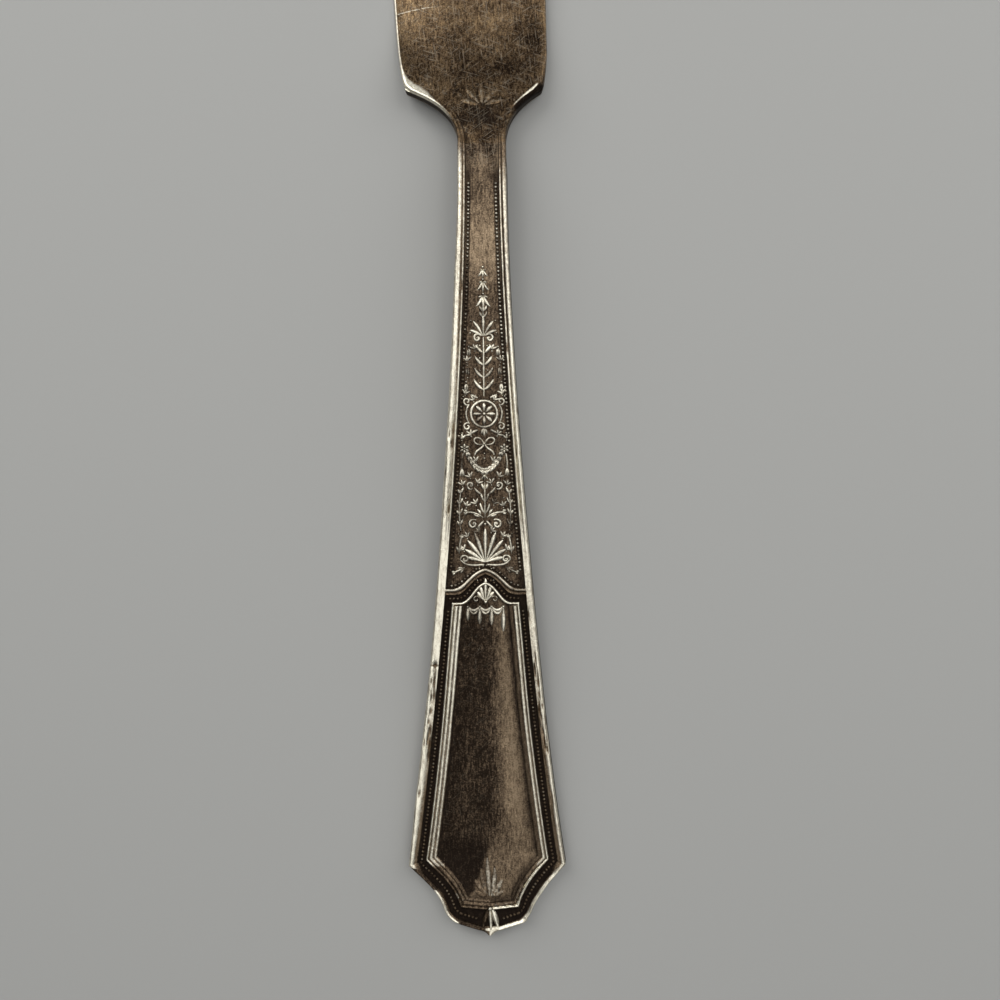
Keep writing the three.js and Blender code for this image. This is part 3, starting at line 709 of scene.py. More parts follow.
def knob(casting, centre, radius, rise, bright):
    """Add one round bead to a casting."""
    first = casting["count"]
    crown = first + BEAD_SIDES * len(BEAD_LIFTS)
    top_ring = crown - BEAD_SIDES
    casting["count"] = crown + 1
    turn = np.arange(BEAD_SIDES) * 2.0 * math.pi / BEAD_SIDES
    around = np.stack([np.cos(turn), np.sin(turn)], 1)
    rings = [np.asarray(centre) + around * radius * math.cos(lift) for lift in BEAD_LIFTS]
    casting["places"].append(np.concatenate(rings + [[centre]]))
    heights = np.append(np.repeat(np.sin(BEAD_LIFTS) * rise, BEAD_SIDES), rise)
    casting["rise"].append(heights - SUNK)
    casting["worn"].append(bright * heights / rise)
    faces = casting["faces"]
    for low in range(first, top_ring, BEAD_SIDES):
        high = low + BEAD_SIDES
        for side in range(BEAD_SIDES):
            ahead = (side + 1) % BEAD_SIDES
            faces.append([low + side, low + ahead, high + ahead, high + side])
    for side in range(BEAD_SIDES):
        faces.append([top_ring + side, top_ring + (side + 1) % BEAD_SIDES, crown])
    casting["hidden"].append(len(faces))
    faces.append([first + side for side in range(BEAD_SIDES - 1, -1, -1)])


def pour(name, casting, level, pale, soot_and_shade):
    """Make the piece of a casting, lying on the face whose height the level function gives."""
    places = np.concatenate(casting["places"])
    rise = np.concatenate(casting["rise"])
    worn = np.concatenate(casting["worn"])
    points = np.column_stack([places, level(places[:, 0], places[:, 1]) + rise])
    low = rise < 0.03
    marks = {"worn": worn, "soot_and_shade": np.where(low, soot_and_shade, 0.25 * soot_and_shade), "pale": np.full(len(worn), pale)}
    span = places.max(0) - places.min(0)
    layout = (places - places.min(0)) / span.max()
    hidden = set(casting["hidden"])
    corner_places = []
    for number, face_points in enumerate(casting["faces"]):
        if number in hidden:
            corner_places.append(np.zeros((len(face_points), 2)))
        else:
            corner_places.append(layout[face_points])
    return finish_mesh(name, points, casting["faces"], marks, np.concatenate(corner_places))


def moved_in(line, distance):
    """A line moved inwards by a distance for each point, without the loops that tight corners make."""
    run = np.gradient(line, axis=0)
    inward = np.stack([run[:, 1], -run[:, 0]], 1) / np.hypot(run[:, 0], run[:, 1])[:, None]
    moved = line + inward * distance[:, None]
    return moved[gap(line, moved[:, 0], moved[:, 1]) > distance - 0.02]


def paced(line, pitch):
    """Places along a line, one pitch apart."""
    steps = np.hypot(*np.diff(line, axis=0).T)
    run = np.concatenate([[0.0], np.cumsum(steps)])
    stops = np.arange(0.0, run[-1], pitch)
    return np.stack([np.interp(stops, run, line[:, 0]), np.interp(stops, run, line[:, 1])], 1)


def field_level(x, y):
    return topside(y) + FIELD_DROP


BEAD_PITCH = 0.47
SHANK_BEADS_IN, PANEL_BEADS_IN = 1.34, 1.46
SHANK_BEADS_FROM, SHANK_BEADS_TO = -11.9, -61.6
PANEL_BEADS_FROM = -64.2
BESIDE_NIB = 1.1
bead_draw = np.random.default_rng(7)
bead_border = new_casting()
shank_row = moved_in(rim_line, np.full(len(rim_line), SHANK_BEADS_IN))
shank_row = shank_row[(shank_row[:, 1] < SHANK_BEADS_FROM) & (shank_row[:, 1] > SHANK_BEADS_TO)]
panel_row = moved_in(rim_line, PANEL_BEADS_IN - 0.20 * ease(-96.5, -98.5, rim_line[:, 1]))
panel_row = panel_row[(panel_row[:, 1] < PANEL_BEADS_FROM) & (panel_row[:, 0] > BESIDE_NIB)]
over_x = np.linspace(-4.2, 4.2, 85)
over_bar_row = np.stack([over_x, bar_high(over_x) + 0.30], 1)
under_x = np.linspace(-4.4, 4.4, 85)
under_bar_row = np.stack([under_x, ogee(under_x, raised=0.43, widened=0.25)], 1)
for side in (-1.0, 1.0):
    for centre in paced(shank_row, BEAD_PITCH):
        # The side term brightens the beads on the right and dulls those on the left as painted light and
        # shade.
        bright = 0.50 + 0.10 * side + bead_draw.uniform(-0.12, 0.12) - 0.14 * ease(-34.0, -50.0, centre[1])
        if side < 0.0:
            bright = bright + 0.14 * ease(-24.0, -19.0, centre[1])
        knob(bead_border, (side * centre[0], centre[1]), radius=0.21, rise=0.31, bright=bright)
    for centre in paced(panel_row, BEAD_PITCH):
        bright = 0.30 + bead_draw.uniform(-0.10, 0.12)
        knob(bead_border, (side * centre[0], centre[1]), radius=0.21, rise=0.28, bright=bright)
for row, row_bright in ((over_bar_row, 0.42), (under_bar_row, 0.30)):
    for centre in paced(row, BEAD_PITCH):
        knob(bead_border, centre, radius=0.20, rise=0.28, bright=row_bright + bead_draw.uniform(-0.10, 0.12))
bead_piece = pour("bead_borders", bead_border, field_level, pale=0.46, soot_and_shade=0.95)
bead_piece.data.materials.append(handle_finish)
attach(bead_piece, "root")

# Field ornament
# Low relief raised by the dies on the sunk field of the shank: a chain of bellflowers, a laurel stem,
# a patera, a hung garland and a large palm leaf. Its crests are rubbed bright over a dark ground.
STRAND_SIDES = 7
LEAF_STEPS = 9
LEAF_TAPER = 0.7


def strand(casting, path, half_width, rise, bright, taper=0.35, fullest=1.0):
    """Add a raised rounded strand along a path. A higher taper makes it more like a leaf, and a higher
    fullest moves its widest place towards the tip."""
    path = np.asarray(path, float)
    count = len(path)
    share = np.linspace(0.0, 1.0, count) ** fullest
    swell = np.sin(math.pi * (0.05 + 0.90 * share)) ** taper
    run = np.gradient(path, axis=0)
    run = run / np.hypot(run[:, 0], run[:, 1])[:, None]
    across = np.stack([-run[:, 1], run[:, 0]], 1)
    turn = np.linspace(-math.pi / 2, math.pi / 2, STRAND_SIDES)
    sideways = np.sin(turn)[None, :, None] * (half_width * swell)[:, None, None]
    places = path[:, None, :] + sideways * across[:, None, :]
    heights = np.cos(turn)[None, :] * (rise * swell ** 0.6)[:, None]
    first = casting["count"]
    after = first + count * STRAND_SIDES
    casting["count"] = after
    casting["places"].append(places.reshape(-1, 2))
    casting["rise"].append(heights.ravel() - SUNK)
    casting["worn"].append(bright * np.repeat((0.25 + 0.75 * np.cos(turn))[None, :], count, 0).ravel())
    faces, hidden = casting["faces"], casting["hidden"]
    for low in range(first, after - STRAND_SIDES, STRAND_SIDES):
        high = low + STRAND_SIDES
        for side in range(STRAND_SIDES):
            ahead = (side + 1) % STRAND_SIDES
            if ahead == 0:
                hidden.append(len(faces))
            faces.append([low + side, high + side, high + ahead, low + ahead])
    for cap in (range(first, first + STRAND_SIDES), range(after - 1, after - STRAND_SIDES - 1, -1)):
        hidden.append(len(faces))
        faces.append(list(cap))


def mirrored(path):
    return [(-x, y) for x, y in path]


def pair(casting, path, half_width, rise, bright, taper=0.35, fullest=1.0):
    """A strand and its mirror image on the other side of the middle line."""
    strand(casting, path, half_width, rise, bright, taper, fullest)
    strand(casting, mirrored(path), half_width, rise, bright, taper, fullest)


def curl(centre, radius, start, turns, closing):
    """Places on a spiral, from its open end to its eye."""
    share = np.linspace(0.0, 1.0, 22)
    angle = start + turns * 2.0 * math.pi * share
    reach = radius * (1.0 - closing * share)
    return np.stack([centre[0] + reach * np.cos(angle), centre[1] + reach * np.sin(angle)], 1)


def leaf(root, angle, length, bend):
    """Places along a leaf from its root, leaving at an angle from straight up and bending as it goes."""
    share = np.linspace(0.0, 1.0, LEAF_STEPS + 1)
    heading = angle + bend * share
    step = length / LEAF_STEPS
    x = root[0] + np.concatenate([[0.0], np.cumsum(np.sin(heading[1:]) * step)])
    y = root[1] + np.concatenate([[0.0], np.cumsum(np.cos(heading[1:]) * step)])
    return np.stack([x, y], 1)


def bellflower(casting, y, size, bright):
    """A hanging flower of three flared petals under two short sepals."""
    strand(casting, leaf((0.0, y), math.pi, 1.30 * size, 0.0), 0.20 * size, 0.24, bright, taper=0.8)
    petal = leaf((0.14 * size, y), math.pi - 0.05, 1.25 * size, -0.85)
    pair(casting, petal, 0.19 * size, 0.24, bright, LEAF_TAPER)
    sepal = leaf((0.05, y + 0.05), math.pi - 1.5, 0.50 * size, 0.5)
    pair(casting, sepal, 0.13 * size, 0.20, bright, LEAF_TAPER)


def fan(casting, root, lengths, spread, half_width, bend, bright):
    """A palm leaf: one upright blade and a row of smaller ones on each side."""
    strand(casting, leaf(root, 0.0, lengths[0], 0.0), half_width, 0.24, bright, LEAF_TAPER, fullest=1.8)
    for number, length in enumerate(lengths[1:], 1):
        start = (root[0] + 0.06 * number, root[1])
        side_blade = leaf(start, spread * number, length, bend * number)
        pair(casting, side_blade, half_width, 0.22, bright, LEAF_TAPER, fullest=1.8)


def frond(casting, root, angle, length, bend, lobes, reach, bright, both=True):
    """A leaf with a rib and curling lobes on both sides, growing shorter towards its tip."""
    put_in = pair if both else strand
    rib = leaf(root, angle, length, bend)
    put_in(casting, rib, 0.17, 0.27, bright, taper=0.5)
    for share in np.linspace(0.12, 0.80, lobes):
        here = rib[int(share * LEAF_STEPS)]
        heading = angle + bend * share
        size = reach * (1.0 - 0.55 * share)
        for side in (-1.0, 1.0):
            lobe = leaf(here, heading + 0.80 * side, size, -0.70 * side)
            put_in(casting, lobe, 0.20, 0.22, bright, LEAF_TAPER, fullest=1.3)


seeds = []
ornament = new_casting()


def leaf_pair(root, angle, length, bend, half_width, rise, bright):
    """A leaf of the field and its mirror image."""
    pair(ornament, leaf(root, angle, length, bend), half_width, rise, bright, LEAF_TAPER)


def scroll_pair(centre, radius, start, turns, closing, half_width, rise, bright):
    """A scroll of the field and its mirror image."""
    pair(ornament, curl(centre, radius, start, turns, closing), half_width, rise, bright)


# Bellflowers hung one under another at the head of the field
for y, size in ((-23.3, 0.78), (-24.8, 0.95), (-26.55, 1.15)):
    bellflower(ornament, y, size, 0.90)
    seeds.append((0.0, y + 0.32, 0.18))

strand(ornament, bow([(0.0, -27.6), (0.0, -28.9)], 6), 0.14, 0.18, 0.70)
for y in (-28.35, -29.1):
    leaf_pair((0.04, y), 0.85, 0.8, -0.6, 0.20, 0.20, 0.72)

# Small palm leaf on two volutes
fan(ornament, (0.0, -31.3), (2.4, 2.1, 1.6), spread=0.50, half_width=0.24, bend=0.14, bright=0.88)
scroll_pair((0.74, -31.6), 0.54, 2.6, -1.15, 0.8, 0.18, 0.22, 0.84)
seeds += [(0.74, -31.6, 0.16), (1.5, -29.5, 0.14), (1.6, -31.0, 0.13)]

# Laurel stem with paired leaves and berries, and a pair of drops beside it
strand(ornament, bow([(0.0, -31.5), (0.0, -38.7)], 16), 0.16, 0.22, 0.84)
for y, length in ((-33.4, 1.30), (-34.9, 1.45), (-36.4, 1.60), (-37.9, 1.75)):
    leaf_pair((0.05, y), 1.15, length, -0.75, 0.25, 0.25, 0.86)
    seeds.append((0.45, y + 0.85, 0.15))
for y, x in ((-32.9, 1.80), (-35.2, 1.98), (-37.2, 2.15)):
    leaf_pair((x - 0.04, y), math.pi + 0.35, 0.85, -0.5, 0.19, 0.20, 0.70)
    leaf_pair((x + 0.04, y), math.pi - 0.35, 0.85, 0.5, 0.19, 0.20, 0.70)
    seeds += [(x, y + 0.25, 0.14), (x, y - 1.25, 0.11)]

# Patera of eight petals in a ring, with a bracket scroll at each side
PATERA = -40.85
strand(ornament, curl((0.0, PATERA), 1.62, 0.3, 1.0, 0.0), 0.20, 0.25, 0.88, taper=0.08)
for petal in range(8):
    angle = petal * math.pi / 4
    start = (0.30 * math.sin(angle), PATERA + 0.30 * math.cos(angle))
    strand(ornament, leaf(start, angle, 1.05, 0.0), 0.27, 0.24, 0.82, taper=0.8, fullest=1.3)
seeds.append((0.0, PATERA, 0.28))
for turn in (-1.0, 1.0):
    scroll_pair((2.08, PATERA - 1.55 * turn), 0.50, 2.2 * turn, -1.1 * turn, 0.75, 0.16, 0.22, 0.80)
    leaf_pair((0.75, PATERA - 1.95 * turn), math.pi / 2 + 0.3 * turn, 0.95, 0.3 * turn, 0.21, 0.20, 0.72)
pair(ornament, bow([(1.85, PATERA + 1.15), (2.55, PATERA), (1.85, PATERA - 1.15)], 12), 0.16, 0.20, 0.78)
seeds += [(2.55, -38.7, 0.13), (2.7, -43.2, 0.14)]

for spread, length in ((0.0, 0.95), (0.6, 0.8)):
    leaf_pair((0.02, -42.6), math.pi - spread, length, 0.4 * spread, 0.21, 0.20, 0.74)

# Leafy garland hung between two rosettes, with a tied ribbon over it and a tassel at each end
ROSETTE = (2.45, -45.1)
for petal in range(6):
    angle = petal * math.pi / 3
    start = (ROSETTE[0] + 0.1 * math.sin(angle), ROSETTE[1] + 0.1 * math.cos(angle))
    pair(ornament, leaf(start, angle, 0.55, 0.0), 0.19, 0.22, 0.84, taper=0.9)
seeds.append((ROSETTE[0], ROSETTE[1], 0.16))
garland = bow([(2.15, -45.5), (1.75, -46.9), (0.9, -47.75), (0.0, -47.8)], 8)
for number, (here, ahead) in enumerate(zip(garland[:-1], garland[1:])):
    heading = math.atan2(ahead[0] - here[0], ahead[1] - here[1])
    size = 0.62 + 0.05 * number
    for side in (-1.0, 1.0):
        leaf_pair(here, heading + 0.55 * side, size, -0.4 * side, 0.21, 0.24, 0.84)
    seeds.append((here[0], here[1], 0.15))
ribbon = bow([(0.08, -44.5), (0.45, -43.2), (2.0, -43.6), (1.35, -44.95), (0.1, -44.55)], 22)
pair(ornament, ribbon, 0.13, 0.22, 0.86)
pair(ornament, bow([(0.08, -44.6), (0.35, -45.3), (0.95, -45.1), (1.2, -45.9)], 14), 0.18, 0.20, 0.80)
seeds += [(0.0, -44.5, 0.22), (0.0, -46.3, 0.16), (0.0, -45.7, 0.12)]
pair(ornament, bow([(2.62, -45.7), (2.85, -46.6), (2.78, -47.6)], 12), 0.15, 0.20, 0.74)
for spread in (-0.3, 0.0, 0.3):
    leaf_pair((2.78, -47.5), math.pi - spread, 1.0, 0.2 * spread, 0.16, 0.20, 0.76)
bellflower(ornament, -48.25, 0.62, 0.76)

# Leafy cup: a tall leaf between two that curl outwards, on scrolls, with a sprig at each side
frond(
    ornament, (0.0, -53.6), angle=0.0, length=4.4, bend=0.0, lobes=3, reach=1.55, bright=0.84, both=False)
frond(
    ornament, (0.25, -53.6), angle=0.80, length=2.6, bend=0.95, lobes=2, reach=1.05, bright=0.80)
scroll_pair((1.45, -54.4), 0.62, 2.2, -1.2, 0.8, 0.20, 0.23, 0.82)
pair(ornament, bow([(0.15, -54.0), (0.55, -54.5), (0.95, -54.85)], 8), 0.19, 0.22, 0.78)
scroll_pair((1.75, -49.6), 0.52, 4.2, 1.15, 0.8, 0.18, 0.22, 0.74)
leaf_pair((1.30, -49.9), -2.6, 1.35, 0.5, 0.20, 0.22, 0.70)
seeds += [(1.45, -54.4, 0.19), (1.75, -49.6, 0.16), (2.35, -51.2, 0.14), (0.0, -54.4, 0.22)]
pair(ornament, bow([(3.0, -55.2), (3.35, -52.9), (2.95, -50.2)], 14), 0.14, 0.18, 0.68)
for y, x in ((-54.5, 3.13), (-53.2, 3.18), (-51.9, 3.13), (-50.6, 3.02)):
    leaf_pair((x, y), 0.75, 0.62, -0.5, 0.21, 0.20, 0.70)
    leaf_pair((x, y), -0.75, 0.85, 0.5, 0.19, 0.20, 0.70)

# Large palm leaf standing on the point of the bar, with a scroll and a leaf in each corner
fan(ornament, (0.0, -59.1), (4.1, 3.85, 3.4, 2.8, 2.1), spread=0.29, half_width=0.31, bend=0.07, bright=0.84)
pair(ornament, bow([(0.15, -59.45), (1.3, -59.5), (2.4, -59.7), (3.0, -58.9)], 18), 0.19, 0.22, 0.82)
scroll_pair((2.55, -58.75), 0.55, -0.3, 1.2, 0.8, 0.18, 0.22, 0.82)
frond(
    ornament, (2.55, -59.75), angle=2.15, length=1.75, bend=-0.25, lobes=2, reach=0.85, bright=0.72)
frond(
    ornament, (3.25, -58.1), angle=0.0, length=2.5, bend=-0.30, lobes=2, reach=0.80, bright=0.72)
seeds += [(2.55, -58.75, 0.17), (3.3, -55.6, 0.13), (1.45, -60.3, 0.15)]
seeds += [(0.75, -59.95, 0.15), (2.2, -60.8, 0.13)]

# Small sprays of three leaves fill the ground between the larger forms
SPRAYS = (
    (1.05, -33.0, 0.3), (2.05, -34.4, 0.0), (1.25, -39.2, 0.5), (2.3, -38.4, -0.3), (1.6, -43.4, 0.9),
    (2.75, -43.9, 0.0), (1.05, -46.7, 0.4), (1.75, -48.6, 0.5), (0.85, -49.4, -0.4), (2.75, -49.6, 0.2),
    (2.3, -52.2, -0.3), (1.1, -51.9, 0.5), (0.75, -55.3, 0.8), (2.2, -56.0, 0.4), (2.6, -57.6, 0.7),
    (1.0, -61.2, 1.2))
for x, y, heading in SPRAYS:
    for spread in (-0.7, 0.0, 0.7):
        leaf_pair((x, y), heading + spread, 0.72, 0.3 * spread, 0.16, 0.18, 0.72)
    seeds.append((x, y - 0.2, 0.12))
for x, y, radius in seeds:
    for side in ((1.0,) if x == 0.0 else (-1.0, 1.0)):
        knob(ornament, (side * x, y), radius, rise=0.25, bright=0.84)
for places, values in zip(ornament["places"], ornament["worn"]):
    values *= 0.77 + 0.15 * mottle(places[:, 0], places[:, 1], pace=1.8, drawn=1.0, seed=12)
ornament_piece = pour("field_ornament", ornament, field_level, pale=0.34, soot_and_shade=0.80)
ornament_piece.data.materials.append(handle_finish)
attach(ornament_piece, "root")

# Panel trimmings
# Small leaves of the same strike: a crest on the point of the panel's head, a fringe of hanging tongues
# under it, a flat worn bud at the foot of the panel and a husk on the nib.


def panel_level(x, y):
    return handle_face(x, y)[0]


CREST_DROP = -0.30


def crest_level(x, y):
    return topside(y) + CREST_DROP


crest = new_casting()
fan(crest, (0.0, -63.95), (2.75, 2.1, 1.5), spread=0.40, half_width=0.29, bend=-0.12, bright=0.78)
pair(crest, curl((1.15, -63.75), 0.42, 2.8, -1.0, 0.7), 0.13, 0.24, 0.55)
knob(crest, (0.0, -64.1), radius=0.28, rise=0.32, bright=0.72)
crest_piece = pour("panel_crest", crest, crest_level, pale=0.36, soot_and_shade=0.55)

FRINGE_TOP = -64.75
fringe = new_casting()
for middle, bright in ((-1.45, 0.52), (0.0, 0.60), (1.45, 0.70)):
    for sag, width in ((0.50, 0.25), (0.98, 0.20)):
        lowest = (middle, FRINGE_TOP - 1.7 * sag)
        swag = bow([(middle - 0.70, FRINGE_TOP), lowest, (middle + 0.70, FRINGE_TOP)], 12)
        strand(fringe, swag, width, 0.24, bright, taper=0.3)
for x, length, bright in ((-2.2, 1.7, 0.54), (-0.73, 2.2, 0.60), (0.73, 2.3, 0.66), (2.2, 3.1, 0.80)):
    strand(fringe, leaf((x, -64.7), math.pi, length, 0.0), 0.34, 0.26, bright, LEAF_TAPER, fullest=1.5)
    knob(fringe, (x, -64.72), radius=0.22, rise=0.28, bright=bright)
fringe_piece = pour("panel_fringe", fringe, panel_level, pale=0.36, soot_and_shade=0.60)

BUD_ROOT = -101.3
bud = new_casting()
strand(bud, leaf((0.0, BUD_ROOT), 0.0, 4.7, 0.0), 0.40, 0.16, 0.47, LEAF_TAPER)
for angle, length, bright in ((0.34, 3.5, 0.45), (0.80, 2.5, 0.43), (1.35, 1.7, 0.40)):
    for side in (-1.0, 1.0):
        shade = bright if side > 0.0 else bright - 0.12
        bud_leaf = leaf((0.25 * side, BUD_ROOT), angle * side, length, -0.3 * side)
        strand(bud, bud_leaf, 0.40, 0.14, shade, taper=0.6)
bud_piece = pour("panel_bud", bud, panel_level, pale=0.50, soot_and_shade=0.40)

HUSK_ROOT = -102.85
HUSK_RISE = 0.42
# The husk's leaves run from dark on the left to bright on the right, partly as painted light and shade.
HUSK_LEAVES = ((-0.2, -0.32, 2.4, 0.34, 0.14), (0.0, 0.05, 2.6, 0.30, 0.66), (0.24, 0.36, 2.4, 0.42, 0.98))
husk = new_casting()
for x, lean, length, width, bright in HUSK_LEAVES:
    husk_leaf = leaf((x, HUSK_ROOT), math.pi - lean, length, 0.25 * lean)
    strand(husk, husk_leaf, width, HUSK_RISE, bright, taper=0.6)
knob(husk, (0.10, HUSK_ROOT), radius=0.34, rise=HUSK_RISE, bright=0.80)
husk_piece = pour("nib_husk", husk, panel_level, pale=0.34, soot_and_shade=0.50)

for piece in (crest_piece, fringe_piece, bud_piece, husk_piece):
    piece.data.materials.append(handle_finish)
    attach(piece, "root")

# Blade
# The flat spreading blade with its blunt ground edge, struck from the same metal and brazed into the
# neck of the handle. Its edges and shoulders are rubbed bright, partly as painted highlights, the right
# shoulder's slope carries painted shade, and its face is brown and scratched.
SHOULDER_STEPS = 40
EDGE_HEEL = (9.4, -0.25)
EDGE_BELLY = (11.4, 24.0)
SPINE_HEEL = (7.5, -0.3)
SPINE_FOOT = (8.25, 4.5)
STEP_FOOT = (7.35, 45.0)
STEP_HEAD = (6.45, 46.17)
edge_shoulder = bow([(NECK_HALF, NECK), (NECK_HALF, -3.9), (5.294, -2.025), EDGE_HEEL], SHOULDER_STEPS)
edge_belly = bow([EDGE_HEEL, (10.2, 0.9), (11.4, 10.08), EDGE_BELLY], 40)
edge_sweep = bow([EDGE_BELLY, (11.4, 47.9), (6.16, 64.63), (-3.7, BLADE_TIP)], 60)
edge_side = np.concatenate([edge_shoulder, edge_belly, edge_sweep])
spine_shoulder = bow([(NECK_HALF, NECK), (NECK_HALF, -3.9), (4.89, -2.025), SPINE_HEEL], SHOULDER_STEPS)
spine_corner = bow([SPINE_HEEL, (8.05, 0.7), SPINE_FOOT], 16)
spine_back = bow([SPINE_FOOT, (8.15, 22.5), STEP_FOOT], 30)
spine_step = bow([STEP_FOOT, (7.25, 45.9), STEP_HEAD], 12)
spine_clip = bow([STEP_HEAD, (4.85, 53.04), (3.32, 63.76), (4.6, BLADE_TIP)], 40)
spine_side = np.concatenate([spine_shoulder, spine_corner, spine_back, spine_step, spine_clip])
edge_line = np.stack([-edge_side[:, 0], edge_side[:, 1]], 1)
CUTTING_EDGE = 0.5
GRIND_WIDTH = 6.5
long_scratch = bow([(-11.2, 10.15), (-9.6, 10.90), (-5.0, 10.90)], 20)


def soft_least(first, second):
    """The lesser of two distances, eased where they are nearly the same so that a corner is rounded."""
    nearly = np.exp(-np.abs(first - second) / 0.30)
    return np.maximum(np.minimum(first, second) - 0.20 * nearly, 0.0)


def from_outline(line, x, y):
    """Distance from an outline of the blade, eased where its shoulder meets the rest of it."""
    return soft_least(gap(line[:SHOULDER_STEPS], x, y), gap(line[SHOULDER_STEPS - 1:], x, y))


def blade_face(x, y):
    """Height of the blade's top face, and how worn, sooty and pale the plate is, at each place."""
    from_edge = from_outline(edge_line, x, y)
    rim = np.minimum(from_edge, from_outline(spine_side, x, y))
    height, worn, soot_and_shade, pale = struck_face(x, y, rim)
    ground = ease(0.5, 12.0, y) * (1.0 - ease(0.0, GRIND_WIDTH, from_edge))
    body = thickness(y) - (thickness(y) - CUTTING_EDGE) * ground

    # Edges are rounded, most at the shoulders
    left = x < 0.0
    shoulder = ease(-7.0, -4.0, y) * ease(5.0, 0.5, y)
    radius = 0.26 + np.where(left, 0.14, 0.56) * shoulder
    radius = np.minimum(radius, 0.52 * body)
    fall = np.clip(radius - rim, 0.0, None)
    height = height - (radius - np.sqrt(np.clip(radius ** 2 - fall ** 2, 0.0, None)))

    # The left edge is rubbed bright, widest at the heel, and brightened further as a painted highlight; the
    # right shoulder only along its inner brow, as a painted highlight.
    heel = np.exp(-((y - 0.2) / 1.6) ** 2)
    along_shoulder = ease(-5.6, -3.0, y)
    left_width = 0.19 + 0.55 * heel
    left_bright = (0.70 + 0.50 * heel) * np.exp(-((rim - 0.10 - 0.20 * heel) / left_width) ** 2)
    brow_share = 0.56 * ease(3.4, 4.4, x) + 0.42 * ease(4.6, 6.2, x)
    brow = np.exp(-((rim - 0.66) / 0.15) ** 2) * brow_share * ease(0.9, 0.1, y)
    right_bright = np.maximum(brow, 0.36 * np.exp(-(rim / 0.35) ** 2) * ease(0.5, 3.0, y))
    edge_bright = np.where(left, left_bright, right_bright) * along_shoulder
    scratch = 0.60 * np.exp(-(gap(long_scratch, x, y) / 0.09) ** 2) * ease(-3.7, -7.4, x)
    worn = np.maximum(np.maximum(worn * ease(-3.0, -6.0, y), edge_bright), scratch)

    # The face is darker over the neck, as painted shade where it tilts up into the arch, and paler to the
    # left, and dirt lies in the neck itself
    blade_pale = 0.29 + 0.10 * ease(4.5, 10.0, y) + 0.20 * ease(-7.5, -9.8, x) * ease(0.0, 3.0, y)
    blade_pale = blade_pale - 0.10 * ease(2.0, 7.0, x) * ease(0.0, 4.0, y) - 0.14 * ease(-1.0, -4.0, y)
    dark_band = np.exp(-((y - 2.6) / 1.9) ** 2 - ((x - 1.0) / 5.5) ** 2)
    blade_pale = blade_pale - 0.17 * dark_band
    blade_pale = blade_pale + 0.06 * mottle(x, y, pace=0.9, drawn=0.8, seed=6)
    blade_pale = blade_pale + 0.06 * mottle(x, y, pace=2.4, drawn=0.8, seed=14)
    # Painted shade: the slope below the right shoulder's brow is darkened.
    at_corner = ease(-3.6, -2.4, y) * ease(0.8, 0.1, y)
    painted_shade_slope = np.where(left, 0.0, ease(0.62, 0.42, rim) * at_corner)
    right_edge = np.where(left, 0.0, 0.36 * np.exp(-(rim / 0.95) ** 2) * ease(0.0, 2.0, y))
    neck_edge = 0.36 * np.exp(-(rim / 0.5) ** 2) * ease(-2.6, -4.0, y) * ease(-8.5, -6.5, y)
    pale = pale + (blade_pale + right_edge + neck_edge - pale) * ease(-7.5, -4.0, y) - 0.34 * painted_shade_slope
    neck_dirt = np.exp(-((y + 4.3) / 1.5) ** 2 - (x / 2.8) ** 2)
    pale = pale - 0.20 * neck_dirt + 0.16 * neck_dirt * mottle(x, y, pace=3.2, drawn=0.8, seed=2)
    soot_and_shade = np.maximum(soot_and_shade * ease(-3.5, -6.0, y), 0.85 * painted_shade_slope)
    soot_and_shade = np.maximum(soot_and_shade, 0.42 * neck_dirt)
    return underside(y) + body + height, worn, soot_and_shade, pale


blade_rows = np.concatenate([
    np.arange(NECK, 2.5, 0.13), np.arange(2.5, 8.0, 0.4), np.arange(8.0, 11.6, 0.12),
    np.arange(11.6, 44.0, 0.9), np.arange(44.0, 47.0, 0.1), np.arange(47.0, BLADE_TIP - 0.1, 0.5),
    [BLADE_TIP]])[::-1]
blade_left = -np.interp(blade_rows, edge_side[:, 1], edge_side[:, 0])
blade_right = np.interp(blade_rows, spine_side[:, 1], spine_side[:, 0])
blade_middle = (blade_left + blade_right) / 2 * ease(-6.0, 30.0, blade_rows)
# Painted shade darkens the walls under the shoulders; the right wall is dark and the left wall bright as
# painted shade and light.
shaded = ease(2.6, 0.3, blade_rows) * ease(-7.4, -3.4, blade_rows)
blade_wall_wear_and_shade = {
    "worn": (0.08, 0.34, 0.60 - 0.60 * shaded),
    "soot_and_shade": (0.55 + 0.35 * shaded, 0.05, 0.05 + 0.75 * shaded),
    "pale": (0.16, 0.50, 0.50 - 0.30 * shaded),
}
blade = lofted(
    "ground_blade", blade_rows, blade_left, blade_right, blade_middle, blade_face,
    back_round=0.3, draft=blade_rows * 0.0, walls=blade_wall_wear_and_shade)
BLADE_TINT = (1.0, 0.880, 0.670)
blade_finish = tarnished_silver(
    "blade_plate_tarnished", speckle=1.45, tint=BLADE_TINT, ragged_edge=0.55, grain_height=0.040)
blade.data.materials.append(blade_finish)
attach(blade, "root")
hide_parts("blade")

# Blade leaf
# A low leaf of five parts where the neck spreads into the blade. It is struck in the blade's own metal
# and worn almost flat.


def blade_level(x, y):
    return blade_face(x, y)[0]


